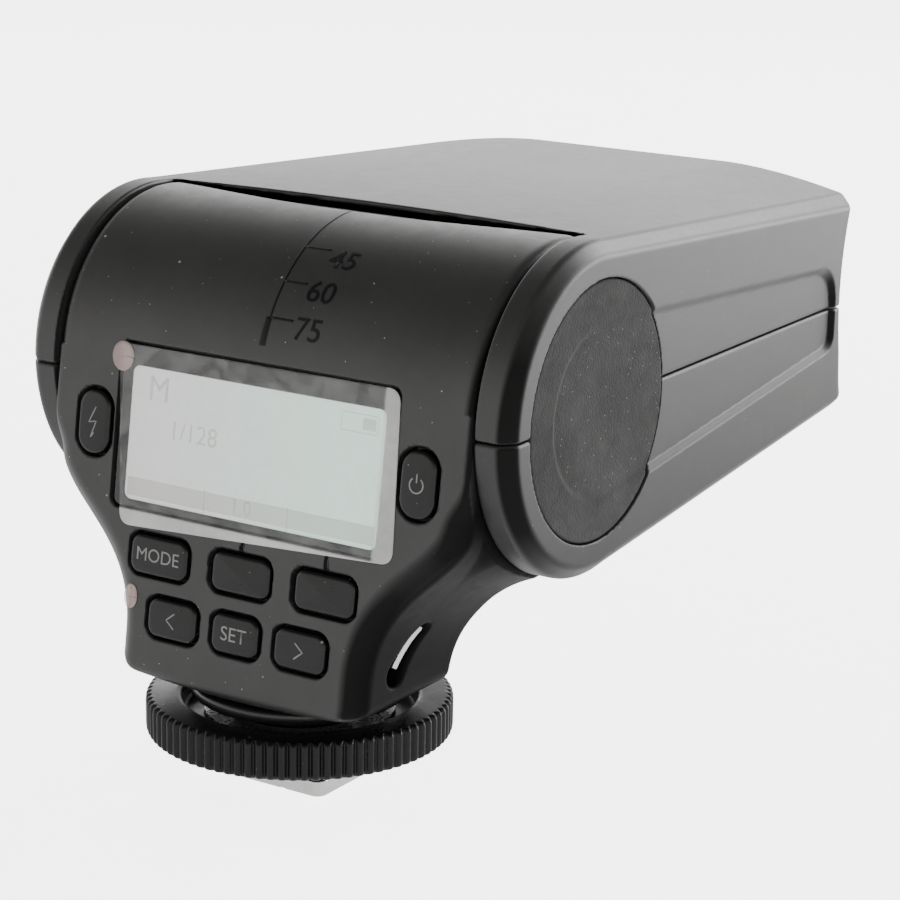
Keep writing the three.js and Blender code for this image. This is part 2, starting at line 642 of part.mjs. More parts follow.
const CAPACITOR = { r: 6.5, half: 17, y: 33, z: 2 };
const can = cylinderX(CAPACITOR.r, -CAPACITOR.half, CAPACITOR.half, CAPACITOR.y, CAPACITOR.z, 32);
addPiece(head, "main_capacitor", can, "sleeve");
const HEAD_BOARD = { half: 24, y: [24, 52], z: [-7.9, -6.5] };
addPiece(head, "head_board", box([-HEAD_BOARD.half, HEAD_BOARD.half], HEAD_BOARD.y, HEAD_BOARD.z), "board");

// Wires run through the left pivot, turn forward in the cheek and end at the capacitor's side.
const WIRE = { r: 0.4, x: -30.4, sides: 8 };
const wireRoute = new THREE.CatmullRomCurve3(
  [[-25.4, 0], [-28.8, -0.4], [-29.9, 0.3], [WIRE.x, 2.4], [WIRE.x, 10], [WIRE.x, 23.5]].map(
    ([x, y]) => new THREE.Vector3(x, y, 0),
  ),
);
const wireSection = outline(arc(0, 0, WIRE.r, 0, 360 - 360 / WIRE.sides, WIRE.sides - 1));
const wire = new THREE.ExtrudeGeometry(wireSection, { steps: 12, extrudePath: wireRoute });
addPiece(head, "wire_loom", solid(wire), "copper");

export default speedlight;
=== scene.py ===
"""Looks of a compact shoe-mounted camera flash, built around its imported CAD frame.

Shell shapes are signed-distance fields in millimetres, turned into meshes by surface nets.
Small parts are swept, turned or lettered meshes. Everything rides on a CAD body by name.
"""

import itertools
import json
import logging
import math
from dataclasses import dataclass, field
from enum import Enum
from typing import Callable, Sequence

import bpy
import numpy as np
from mathutils import Matrix, Vector


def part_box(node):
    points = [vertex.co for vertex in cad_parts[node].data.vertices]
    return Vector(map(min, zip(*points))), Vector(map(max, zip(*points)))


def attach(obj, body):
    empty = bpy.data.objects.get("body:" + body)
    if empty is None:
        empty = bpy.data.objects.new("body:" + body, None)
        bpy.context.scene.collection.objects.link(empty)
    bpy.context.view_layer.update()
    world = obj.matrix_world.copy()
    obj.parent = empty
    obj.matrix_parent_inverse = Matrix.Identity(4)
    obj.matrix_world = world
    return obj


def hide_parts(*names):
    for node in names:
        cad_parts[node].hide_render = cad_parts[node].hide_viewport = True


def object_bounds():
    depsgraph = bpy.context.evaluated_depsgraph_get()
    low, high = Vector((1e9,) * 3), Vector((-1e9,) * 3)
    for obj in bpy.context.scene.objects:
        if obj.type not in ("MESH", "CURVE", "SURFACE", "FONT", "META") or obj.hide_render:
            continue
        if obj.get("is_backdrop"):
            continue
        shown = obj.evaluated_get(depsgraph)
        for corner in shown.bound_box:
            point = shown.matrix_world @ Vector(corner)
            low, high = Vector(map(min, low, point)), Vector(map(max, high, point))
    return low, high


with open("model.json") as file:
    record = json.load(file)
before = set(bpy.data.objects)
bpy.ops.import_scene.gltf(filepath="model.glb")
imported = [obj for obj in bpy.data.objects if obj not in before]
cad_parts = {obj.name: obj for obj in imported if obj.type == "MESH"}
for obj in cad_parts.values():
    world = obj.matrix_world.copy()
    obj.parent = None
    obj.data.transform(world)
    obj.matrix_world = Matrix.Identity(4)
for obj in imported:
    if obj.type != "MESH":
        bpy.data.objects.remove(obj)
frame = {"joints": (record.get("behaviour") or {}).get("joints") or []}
CAD_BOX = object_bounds()

log = logging.getLogger("flash")

MM = 0.001
Array = np.ndarray
Field = Callable[[Array, Array, Array], Array]
RadiusChange = Callable[[Array, Array], Array]
Point = tuple[float, float, float]
Pair = tuple[float, float]
Colour = tuple[float, float, float, float]


# ---------------------------------------------------------------- frame measures


def node_box(name: str) -> tuple[Array, Array]:
    """Lowest and highest corner of a CAD node, in millimetres."""
    low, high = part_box(name)
    return np.array(low) / MM, np.array(high) / MM


def middle_half(low: Array, high: Array) -> tuple[Array, Array]:
    """Middle and half size of a box between two corners."""
    return (low + high) / 2, (high - low) / 2


def joint_place(name: str) -> Array:
    """Position of a hinge from the record, in millimetres."""
    return np.array(next(j["pos_m"] for j in frame["joints"] if j["name"] == name)) / MM


def joint_axis(name: str) -> Array:
    """Direction of a joint from the record."""
    return np.array(next(j["axis"] for j in frame["joints"] if j["name"] == name), float)


AXIS = joint_place("head_tilt")
HEAD_HALF = float(node_box("head_upper_shell")[1][0])
BARREL_HALF = float(node_box("rear_shell")[1][0])
CHEEK_R = float(node_box("head_upper_shell")[1][2] - AXIS[2])
NECK_BOTTOM = float(node_box("rear_shell")[0][2])
NECK_FRONT = float(node_box("assist_window")[1][1])
BARREL_R = float(node_box("battery_cover")[1][1] - AXIS[1])


@dataclass(frozen=True)
class PanelFrame:
    """The leaning control panel: u across, v up in the panel, w out of it, from the barrel's tangent line."""

    inward: Array = field(default_factory=lambda: joint_axis("button_set_press"))

    @property
    def out(self) -> Array:
        """Outward normal of the panel."""
        return -self.inward / np.linalg.norm(self.inward)

    @property
    def up(self) -> Array:
        """Up direction inside the panel."""
        return np.array([0.0, self.out[2], -self.out[1]])

    @property
    def origin(self) -> Array:
        """Point where the panel touches the barrel at x = 0."""
        return np.array([0.0, AXIS[1], AXIS[2]]) + BARREL_R * self.out

    def local(self, y: Array, z: Array) -> tuple[Array, Array]:
        """Panel heights of part points.

        Args:
            y: Part y in millimetres.
            z: Part z in millimetres.

        Returns:
            v, up in the panel, and w, out of it.
        """
        dy, dz = y - self.origin[1], z - self.origin[2]
        return dy * self.up[1] + dz * self.up[2], dy * self.out[1] + dz * self.out[2]

    def place(self, uvw: Array) -> Array:
        """Part points in millimetres of panel points, one row each."""
        return self.origin + uvw[:, :1] * [1.0, 0.0, 0.0] + uvw[:, 1:2] * self.up + uvw[:, 2:3] * self.out


PANEL = PanelFrame()

# ---------------------------------------------------------------- distance fields


def smooth_max(a: Array, b: Array, k: float | Array) -> Array:
    """Larger of two fields with the crease rounded over a width of about k."""
    h = np.maximum(k - np.abs(a - b), 0) / k
    return np.maximum(a, b) + h * h * k * 0.25


def smooth_min(a: Array, b: Array, k: float | Array) -> Array:
    """Smaller of two fields with the crease filled over a width of about k."""
    return -smooth_max(-a, -b, k)


def smooth_step(x: Array, low: float, high: float) -> Array:
    """Zero below low, one above high, smooth between."""
    t = np.clip((x - low) / (high - low), 0, 1)
    return t * t * (3 - 2 * t)


def rounded_rect(u: Array, v: Array, half_u: float, half_v: float, radius: float) -> Array:
    """Distance to a rounded rectangle about the origin."""
    qu, qv = np.abs(u) - half_u + radius, np.abs(v) - half_v + radius
    return np.hypot(np.maximum(qu, 0), np.maximum(qv, 0)) + np.minimum(np.maximum(qu, qv), 0) - radius


def cut(body: Array, tool: Array, k: float = 0.3) -> Array:
    """Body without the tool, its edges rounded over k."""
    return smooth_max(body, -tool, k)


# ---------------------------------------------------------------- mesh making


@dataclass(frozen=True)
class SurfaceNet:
    """Turns a distance field into a smooth closed mesh."""

    cell: float = 0.3
    quick_factor: float = 1.5
    corners: tuple[Point, ...] = tuple(itertools.product((0, 1), repeat=3))

    def step(self) -> float:
        return self.cell * 1.0

    def gradient(self, shape: Field, points: Array) -> Array:
        """Gradient of the field at points, by central differences.

        Args:
            shape: Distance field in millimetres.
            points: Points in millimetres, one row each.

        Returns:
            One gradient row for each point.
        """
        e = 0.25 * self.cell
        columns = []
        for axis in range(3):
            ahead, behind = points.copy(), points.copy()
            ahead[:, axis] += e
            behind[:, axis] -= e
            columns.append((shape(*ahead.T) - shape(*behind.T)) / (2 * e))
        return np.stack(columns, 1)

    def settle(self, shape: Field, points: Array, rounds: int = 3) -> Array:
        """Moves points onto the zero level of the field.

        Args:
            shape: Distance field in millimetres.
            points: Points near the surface, one row each.
            rounds: Number of steps.

        Returns:
            The moved points.
        """
        for _ in range(rounds):
            slope = self.gradient(shape, points)
            size = np.maximum((slope**2).sum(1, keepdims=True), 0.05)
            move = shape(*points.T)[:, None] * slope / size
            length = np.linalg.norm(move, axis=1, keepdims=True)
            points = points - move * np.minimum(1, 0.5 * self.step() / np.maximum(length, 1e-9))
        return points

    def polygons(self, shape: Field, low: Array, high: Array) -> tuple[Array, Array]:
        """Points and quads of the field's zero level inside a box.

        Args:
            shape: The distance field.
            low: Lowest corner of the box.
            high: Highest corner of the box.

        Returns:
            Points in millimetres and quads as rows of four point numbers.
        """
        step = self.step()
        counts = np.ceil((np.asarray(high) - low) / step).astype(int) + 1
        x, y, z = (low[i] + step * np.arange(counts[i]) for i in range(3))
        grid = np.broadcast_to(shape(x[:, None, None], y[None, :, None], z[None, None, :]), counts)
        inside = grid < 0
        total = np.zeros(counts - 1, np.uint8)
        for i, j, k in self.corners:
            total += inside[i : counts[0] - 1 + i, j : counts[1] - 1 + j, k : counts[2] - 1 + k]
        cells = np.argwhere((total > 0) & (total < 8))
        number = np.full(counts - 1, -1, np.int64)
        number[tuple(cells.T)] = np.arange(len(cells))
        values = {c: grid[tuple((cells + c).T)] for c in self.corners}
        place, hits = np.zeros((len(cells), 3)), np.zeros(len(cells))
        for a, b in itertools.combinations(self.corners, 2):
            if sum(abs(p - q) for p, q in zip(a, b)) != 1:
                continue
            crossing = (values[a] < 0) != (values[b] < 0)
            t = values[a][crossing] / (values[a][crossing] - values[b][crossing])
            place[crossing] += np.array(a) + t[:, None] * (np.array(b) - a)
            hits[crossing] += 1
        points = np.asarray(low) + step * (cells + place / hits[:, None])
        return self.settle(shape, points), self.quads(inside, number, counts)

    @staticmethod
    def quads(inside: Array, number: Array, counts: Array) -> Array:
        """Quads round each grid edge that crosses the surface.

        Args:
            inside: True where a grid point is inside.
            number: Point number of each cell.
            counts: Grid points along each axis.

        Returns:
            Rows of four point numbers.
        """
        found = []
        for a in range(3):
            b, c = (a + 1) % 3, (a + 2) % 3
            first = np.take(inside, range(counts[a] - 1), axis=a)
            second = np.take(inside, range(1, counts[a]), axis=a)
            edges = np.argwhere(first != second)
            edges = edges[(edges[:, b] > 0) & (edges[:, c] > 0)]
            edges = edges[(edges[:, b] < counts[b] - 1) & (edges[:, c] < counts[c] - 1)]
            step_b, step_c = np.eye(3, dtype=int)[b], np.eye(3, dtype=int)[c]
            ring = [edges - step_b - step_c, edges - step_c, edges, edges - step_b]
            quad = np.stack([number[tuple(r.T)] for r in ring], 1)
            outward = inside[tuple(edges.T)]
            found.append(np.where(outward[:, None], quad, quad[:, ::-1]))
        return np.concatenate(found)

    def build(self, name: str, shape: Field, low: Sequence[float], high: Sequence[float]) -> bpy.types.Object:
        """Mesh object of a field.

        Args:
            name: Object name.
            shape: Distance field in millimetres.
            low: Lowest corner of the box that holds the piece.
            high: Highest corner.

        Returns:
            The new object, in metres, with the field's own normals.
        """
        points, quads = self.polygons(shape, np.asarray(low, float), np.asarray(high, float))
        obj = mesh_object(name, points, quads)
        normals = self.gradient(shape, points)
        normals /= np.maximum(np.linalg.norm(normals, axis=1, keepdims=True), 1e-9)
        obj.data.normals_split_custom_set_from_vertices(normals.tolist())
        return obj


def mesh_object(name: str, points: Array, faces: Sequence[Sequence[int]] | Array) -> bpy.types.Object:
    """Smooth-shaded mesh object from points in millimetres.

    Args:
        name: Name of the piece.
        points: Points in millimetres, one row each.
        faces: Point numbers of each face.

    Returns:
        The new object.
    """
    mesh = bpy.data.meshes.new(name)
    if isinstance(faces, np.ndarray):
        faces = faces.tolist()
    mesh.from_pydata((np.asarray(points) * MM).tolist(), [], faces)
    mesh.polygons.foreach_set("use_smooth", [True] * len(mesh.polygons))
    mesh.update()
    obj = bpy.data.objects.new(name, mesh)
    bpy.context.scene.collection.objects.link(obj)
    return obj


def turned_mesh(name: str, profile: Array, count: int, radius_at: RadiusChange | None = None,
                centre: Sequence[float] = (0, 0)) -> bpy.types.Object:
    """Closed piece turned about Z.

    Args:
        name: Object name.
        profile: Closed loop of (radius, height) rows.
        count: Points round the turn.
        radius_at: Optional change of radius from the turn angle and the profile radius.
        centre: x and y of the turning axis.

    Returns:
        The new object.
    """
    angle = np.linspace(0, 2 * math.pi, count, endpoint=False)
    radius = np.repeat(profile[None, :, 0], count, 0)
    if radius_at:
        radius = radius_at(angle[:, None], radius)
    x, y = radius * np.cos(angle)[:, None] + centre[0], radius * np.sin(angle)[:, None] + centre[1]
    z = np.repeat(profile[None, :, 1], count, 0)
    points = np.stack([x, y, z], 2).reshape(-1, 3)
    rows = len(profile)
    faces = []
    for i, j in itertools.product(range(count), range(rows)):
        n, m = (i + 1) % count, (j + 1) % rows
        faces.append([i * rows + j, n * rows + j, n * rows + m, i * rows + m])
    return mesh_object(name, points, faces)


def rounded_profile(corners: Sequence[Pair], radius: float, steps: int = 4) -> Array:
    """Closed loop through corner points with each corner rounded.

    Args:
        corners: Corner points in order.
        radius: Reach of the rounding along each side.
        steps: Points on each corner, less one.

    Returns:
        Points of the loop, one row each.
    """
    corners = np.asarray(corners, float)
    loop = []
    for i, here in enumerate(corners):
        back, ahead = corners[i - 1] - here, corners[(i + 1) % len(corners)] - here
        reach = min(radius, 0.45 * np.linalg.norm(back), 0.45 * np.linalg.norm(ahead))
        start = here + back / np.linalg.norm(back) * reach
        end = here + ahead / np.linalg.norm(ahead) * reach
        for t in np.linspace(0, 1, steps + 1):
            loop.append((1 - t) ** 2 * start + 2 * t * (1 - t) * here + t * t * end)
    return np.array(loop)


class Wrap(Enum):
    """Surfaces that flat lettering can lie on."""

    PANEL = "panel"
    BARREL = "barrel"


@dataclass(frozen=True)
class Mark:
    """A raised mark: a text or a bent ribbon on the panel or the barrel."""

    name: str
    wrap: Wrap
    at: Pair
    body: str
    height: float = 0.0
    depth: float = 0.08

    def lay(self, flat: Array) -> Array:
        """Part points of flat points (across, up, out) about the mark's place.

        Args:
            flat: Points across, up and out, one row each.

        Returns:
            Part points in millimetres, one row each.
        """
        if self.wrap is Wrap.PANEL:
            return PANEL.place(flat + [self.at[0], self.at[1], self.height])
        angle = math.radians(self.at[1]) - flat[:, 1] / BARREL_R
        radius = BARREL_R + self.height + flat[:, 2]
        y, z = AXIS[1] - radius * np.sin(angle), AXIS[2] + radius * np.cos(angle)
        return np.stack([flat[:, 0] + self.at[0], y, z], 1)

    def text(self, words: str, size: float, bold: float = 0.0) -> bpy.types.Object:
        """Raised lettering, centred on the mark's place.

        Args:
            words: The lettering.
            size: Height of the lettering.
            bold: Outline growth.

        Returns:
            The new object.
        """
        curve = bpy.data.curves.new(self.name, "FONT")
        curve.body, curve.size, curve.extrude, curve.offset = words, size, self.depth / 2, bold
        curve.align_x, curve.align_y, curve.resolution_u = "CENTER", "CENTER", 4
        holder = bpy.data.objects.new(self.name + "_curve", curve)
        bpy.context.scene.collection.objects.link(holder)
        bpy.context.view_layer.update()
        mesh = bpy.data.meshes.new_from_object(holder.evaluated_get(bpy.context.evaluated_depsgraph_get()))
        bpy.data.objects.remove(holder)
        flat = np.array([v.co for v in mesh.vertices])
        faces = [list(p.vertices) for p in mesh.polygons]
        bpy.data.meshes.remove(mesh)
        return self.finished(mesh_object(self.name, self.lay(flat), faces))

    def ribbon(self, route: Sequence[Pair], width: float) -> bpy.types.Object:
        """Raised stroke with a rounded section along a flat route about the mark's place.

        Args:
            route: Flat points across and up.
            width: Width of the stroke.

        Returns:
            The new object.
        """
        route = np.asarray(route, float)
        ahead = np.gradient(route, axis=0)
        side = np.stack([-ahead[:, 1], ahead[:, 0]], 1)
        side /= np.maximum(np.linalg.norm(side, axis=1, keepdims=True), 1e-9)
        section = [(-0.5, -0.5), (-0.5, 0.2), (-0.25, 0.5), (0.25, 0.5), (0.5, 0.2), (0.5, -0.5)]
        rows = [np.column_stack([route + side * (s * width), np.full(len(route), h * self.depth)])
                for s, h in section]
        flat = np.stack(rows, 1).reshape(-1, 3)
        n, faces = len(section), []
        for i, j in itertools.product(range(len(route) - 1), range(n)):
            k = (j + 1) % n
            faces.append([i * n + j, i * n + k, (i + 1) * n + k, (i + 1) * n + j])
        faces += [list(range(n))[::-1], [len(flat) - n + j for j in range(n)]]
        return self.finished(mesh_object(self.name, self.lay(flat), faces))

    def finished(self, obj: bpy.types.Object) -> bpy.types.Object:
        """Sets the mark on its body and reports it.

        Args:
            obj: The mark's mesh object.

        Returns:
            The same object.
        """
        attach(obj, self.body)
        log.info("%s: %d points", obj.name, len(obj.data.vertices))
        return obj


def panel_box(name: str) -> tuple[Array, Array]:
    """Lowest and highest (u, v, w) of a CAD node in the panel frame, in millimetres.

    Args:
        name: Name of a CAD node.

    Returns:
        The lowest and the highest (u, v, w).
    """
    points = np.array([v.co for v in bpy.data.objects[name].data.vertices]) / MM
    v, w = PANEL.local(points[:, 1], points[:, 2])
    uvw = np.stack([points[:, 0], v, w], 1)
    return uvw.min(0), uvw.max(0)


def slab(x: Array, y: Array, z: Array, low: Array, high: Array, radius: float) -> Array:
    """Distance to a box with rounded edges between two corners.

    Args:
        x: Place along the first axis.
        y: Place along the second axis.
        z: Place along the third axis.
        low: Lowest corner.
        high: Highest corner.
        radius: Radius of the edges.

    Returns:
        Distance in the units of the corners, negative inside.
    """
    q = [np.abs(c - (low[i] + high[i]) / 2) - (high[i] - low[i]) / 2 + radius
         for i, c in enumerate((x, y, z))]
    outside = np.sqrt(sum(np.maximum(c, 0) ** 2 for c in q))
    return outside + np.minimum(np.maximum(np.maximum(q[0], q[1]), q[2]), 0) - radius


def rounded_box(low: Array, high: Array, radius: float) -> Field:
    """Field of a box with rounded edges between two corners."""
    return lambda x, y, z: slab(x, y, z, low, high, radius)


# ---------------------------------------------------------------- finishes


class Nodes:
    """Short hand for wiring a node tree."""

    def __init__(self, tree: bpy.types.NodeTree) -> None:
        """Starts on an emptied tree."""
        self.tree = tree
        tree.nodes.clear()

    def add(self, kind: str, settings: dict | None = None, **inputs: object) -> bpy.types.Node:
        """Node of a kind with its properties set and its inputs fed.

        Args:
            kind: Blender node type.
            settings: Node properties.
            **inputs: Input sockets by name, with spaces as underscores; a socket links, a value is set.

        Returns:
            The new node.
        """
        node = self.tree.nodes.new(kind)
        for key, value in (settings or {}).items():
            setattr(node, key, value)
        for key, value in inputs.items():
            index = key[1:] if key[0] == "i" and key[1:].isdigit() else None
            socket = node.inputs[int(index)] if index else node.inputs[key.replace("_", " ")]
            if isinstance(value, bpy.types.NodeSocket):
                self.tree.links.new(value, socket)
            else:
                socket.default_value = value
        return node

    def math(self, operation: str, a: object, b: object = 0.0, clamp: bool = False) -> bpy.types.NodeSocket:
        """Output of a maths node."""
        return self.add("ShaderNodeMath", {"operation": operation, "use_clamp": clamp}, i0=a, i1=b).outputs[0]

    def ramp(self, value: object, low: float, high: float, to_low: float = 0.0,
             to_high: float = 1.0) -> bpy.types.NodeSocket:
        """Value mapped from one range to another and clamped.

        Args:
            value: Value or socket.
            low: Start of the range.
            high: End of the range.
            to_low: Output at the start.
            to_high: Output at the end.

        Returns:
            The mapped value.
        """
        node = self.add("ShaderNodeMapRange", {"clamp": True}, Value=value, From_Min=low, From_Max=high,
                        To_Min=to_low, To_Max=to_high)
        return node.outputs[0]

    def dot(self, a: object, b: object) -> bpy.types.NodeSocket:
        """Dot product of two vectors."""
        return self.add("ShaderNodeVectorMath", {"operation": "DOT_PRODUCT"}, i0=a, i1=b).outputs["Value"]

    def axis(self, vector: object, index: int) -> bpy.types.NodeSocket:
        """One component of a vector."""
        return self.add("ShaderNodeSeparateXYZ", Vector=vector).outputs[index]

    def place(self, index: int) -> bpy.types.NodeSocket:
        """One component of the shaded place in the object's own space, in metres."""
        return self.axis(self.add("ShaderNodeTexCoord").outputs["Object"], index)

    def mix(self, factor: object, a: object, b: object) -> bpy.types.NodeSocket:
        """Colour between two colours.

        Args:
            factor: Share of the second colour.
            a: First colour.
            b: Second colour.

        Returns:
            The mixed colour.
        """
        node = self.add("ShaderNodeMix", {"data_type": "RGBA"})
        for socket, value in ((node.inputs[0], factor), (node.inputs[6], a), (node.inputs[7], b)):
            if isinstance(value, bpy.types.NodeSocket):
                self.tree.links.new(value, socket)
            else:
                socket.default_value = value
        return node.outputs[2]


def rgba(r: float, g: float, b: float) -> Colour:
    """Linear colour with full alpha."""
    return (r, g, b, 1.0)


def linear(value: float) -> float:
    """Linear value of a 0 to 255 display value."""
    c = value / 255
    return c / 12.92 if c <= 0.04045 else ((c + 0.055) / 1.055) ** 2.4


def grey(value: float, warm: float = 0.0) -> Colour:
    """Linear grey of a 0 to 255 display value, a little warm or cold."""
    level = linear(value)
    return rgba(level * (1 + warm), level, level * (1 - warm))


PLASTIC_IOR = 1.5
DUST_COLOUR = rgba(0.6, 0.6, 0.58)


class Groups:
    """Shared node groups, built once each."""

    made: dict[str, bpy.types.NodeTree] = {}

    @classmethod
    def get(cls, name: str, build: Callable[[], bpy.types.NodeTree]) -> bpy.types.NodeTree:
        """The named group, built on first use.

        Args:
            name: Name of the group.
            build: Makes the group.

        Returns:
            The group.
        """
        if name not in cls.made:
            cls.made[name] = build()
        return cls.made[name]

    @staticmethod
    def empty(name: str, inputs: dict[str, tuple[str, object]],
              outputs: dict[str, str]) -> tuple[Nodes, bpy.types.Node, bpy.types.Node]:
        """New group with sockets.

        Args:
            name: Group name.
            inputs: Socket type and start value by name.
            outputs: Socket type by name.

        Returns:
            The wiring helper, the group's input node and its output node.
        """
        tree = bpy.data.node_groups.new(name, "ShaderNodeTree")
        for key, (kind, value) in inputs.items():
            socket = tree.interface.new_socket(key, in_out="INPUT", socket_type=kind)
            if value is not None:
                socket.default_value = value
        for key, kind in outputs.items():
            tree.interface.new_socket(key, in_out="OUTPUT", socket_type=kind)
        nodes = Nodes(tree)
        return nodes, nodes.add("NodeGroupInput"), nodes.add("NodeGroupOutput")

    @classmethod
    def surface(cls) -> bpy.types.NodeTree:
        """Moulded grain, mottle, smudges, wear and dust from a place in millimetres.

        Returns:
            The group.
        """
        amounts = {"Grain": 0.3, "Wear": 0.3, "Dust": 0.5}
        inputs = {key: ("NodeSocketFloat", value) for key, value in amounts.items()}
        outputs = {key: "NodeSocketFloat" for key in ("Height", "Mottle", "Edge", "Dust", "Smudge")}
        nodes, start, end = cls.empty("flash_surface", inputs, outputs)
        place = nodes.add("ShaderNodeTexCoord").outputs["Object"]
        mm = nodes.add("ShaderNodeVectorMath", {"operation": "SCALE"}, Vector=place, Scale=1000.0).outputs[0]
        size = nodes.math("DIVIDE", 1.0, start.outputs["Grain"])
        grain = nodes.add("ShaderNodeTexNoise", {"noise_dimensions": "3D"}, Vector=mm, Scale=size, Detail=3.0)
        pits = nodes.add("ShaderNodeTexVoronoi", {"feature": "F1"}, Vector=mm, Scale=size)
        height = nodes.math("ADD", grain.outputs[0], nodes.math("MULTIPLY", pits.outputs["Distance"], 0.5))
        mottle = nodes.add("ShaderNodeTexNoise", Vector=mm, Scale=0.11, Detail=4.0, Roughness=0.6).outputs[0]
        smudge = nodes.add("ShaderNodeTexNoise", Vector=mm, Scale=0.35, Detail=5.0, Distortion=1.2).outputs[0]
        point = nodes.add("ShaderNodeNewGeometry").outputs["Pointiness"]
        ragged = nodes.add("ShaderNodeTexNoise", Vector=mm, Scale=2.2, Detail=4.0).outputs[0]
        sharp = nodes.ramp(point, 0.58, 0.74)
        broken = nodes.math("MULTIPLY", sharp, nodes.ramp(ragged, 0.42, 0.62))
        edge = nodes.math("MULTIPLY", broken, start.outputs["Wear"])
        specks = []
        for scale, radius in ((0.42, 0.075), (1.3, 0.1)):
            cells = nodes.add("ShaderNodeTexVoronoi", {"feature": "F1"}, Vector=mm, Scale=scale)
            chance = nodes.add("ShaderNodeSeparateColor", Color=cells.outputs["Color"]).outputs[0]
            reach = nodes.math("MULTIPLY", nodes.ramp(chance, 0.55, 1.0), radius)
            specks.append(nodes.math("LESS_THAN", cells.outputs["Distance"], reach))
        dust = nodes.math("MULTIPLY", nodes.math("MAXIMUM", *specks), start.outputs["Dust"])
        for key, socket in zip(outputs, (height, mottle, edge, dust, smudge)):
            nodes.tree.links.new(socket, end.inputs[key])
        return nodes.tree


@dataclass(frozen=True)
class Finish:
    """A moulded, coated or plated surface with grain, mottle, worn edges and dust."""

    name: str
    colour: Colour
    roughness: float = 0.5
    grain: float = 0.3
    bump: float = 0.25
    bump_depth: float = 0.02
    rough_spread: float = 0.08
    mottle: float = 0.15
    wear: float = 0.35
    dust: float = 0.5
    metallic: float = 0.0
    specular: float = 0.5
    coat: float = 0.0
    alpha: float = 1.0
    transmission: float = 0.0
    emission: float = 0.0
    seen_glow: float = 1.0
    dust_roughness: float = 0.3
    coat_roughness: float = 0.08

    def material(self) -> bpy.types.Material:
        """The finish's material, made on first use.

        Returns:
            The material.
        """
        known = bpy.data.materials.get(self.name)
        if known:
            return known
        made = bpy.data.materials.new(self.name)
        made.use_nodes = True
        nodes = Nodes(made.node_tree)
        surface = nodes.add("ShaderNodeGroup", {"node_tree": Groups.get("surface", Groups.surface)},
                            Grain=self.grain, Wear=self.wear, Dust=self.dust)
        out = surface.outputs
        colour = self.colouring(nodes, out)
        smooth, coarse = self.roughness - self.rough_spread, self.roughness + self.rough_spread
        rough = nodes.ramp(out["Smudge"], 0.25, 0.75, smooth, coarse)
        rough = nodes.math("ADD", rough, nodes.math("MULTIPLY", out["Dust"], self.dust_roughness), True)
        relief = nodes.add("ShaderNodeBump", Strength=self.bump, Distance=self.bump_depth * MM,
                           Height=out["Height"]).outputs[0]
        shader = nodes.add("ShaderNodeBsdfPrincipled", Base_Color=colour, Roughness=rough, Normal=relief,
                           Metallic=self.metallic, Coat_Weight=self.coat, Coat_Roughness=self.coat_roughness,
                           IOR=PLASTIC_IOR, Transmission_Weight=self.transmission,
                           Specular_IOR_Level=self.specular)
        self.extras(nodes, shader, out)
        final = nodes.add("ShaderNodeOutputMaterial")
        nodes.tree.links.new(shader.outputs[0], final.inputs[0])
        return made

    def colouring(self, nodes: Nodes, out: object) -> bpy.types.NodeSocket:
        """Base colour with mottle, pale worn edges and dust; on the lock ring the pale edges also stand in as
        painted highlights on the ribs.

        Args:
            nodes: Wiring helper of the material.
            out: Outputs of the surface group.

        Returns:
            The colour.
        """
        dark = tuple(c * (1 - self.mottle) for c in self.colour[:3]) + (1.0,)
        light = tuple(min(1.0, c * (1 + self.mottle)) for c in self.colour[:3]) + (1.0,)
        base = nodes.mix(nodes.ramp(out["Mottle"], 0.3, 0.7), dark, light)
        worn = tuple(min(1.0, c * 1.5 + 0.03) for c in self.colour[:3]) + (1.0,)
        return nodes.mix(out["Dust"], nodes.mix(out["Edge"], base, worn), DUST_COLOUR)

    def extras(self, nodes: Nodes, shader: bpy.types.Node, out: object) -> None:
        """Opacity and glow where the finish has them.

        Args:
            nodes: Wiring helper of the material.
            shader: The Principled node.
            out: Outputs of the surface group; not used.
        """
        if self.alpha < 1:
            shader.inputs["Alpha"].default_value = self.alpha
        if self.emission:
            base = shader.inputs["Base Color"].links[0].from_socket
            nodes.tree.links.new(base, shader.inputs["Emission Color"])
            seen = nodes.add("ShaderNodeLightPath").outputs["Is Camera Ray"]
            glow = nodes.ramp(seen, 0.0, 1.0, self.emission, self.emission * self.seen_glow)
            nodes.tree.links.new(glow, shader.inputs["Emission Strength"])

    def dress(self, *objects: bpy.types.Object) -> None:
        """Gives the finish to objects, in place of whatever they wore.

        Args:
            *objects: Objects to dress.
        """
        for obj in objects:
            if obj.data.materials:
                for index in range(len(obj.material_slots)):
                    obj.material_slots[index].material = self.material()
            else:
                obj.data.materials.append(self.material())


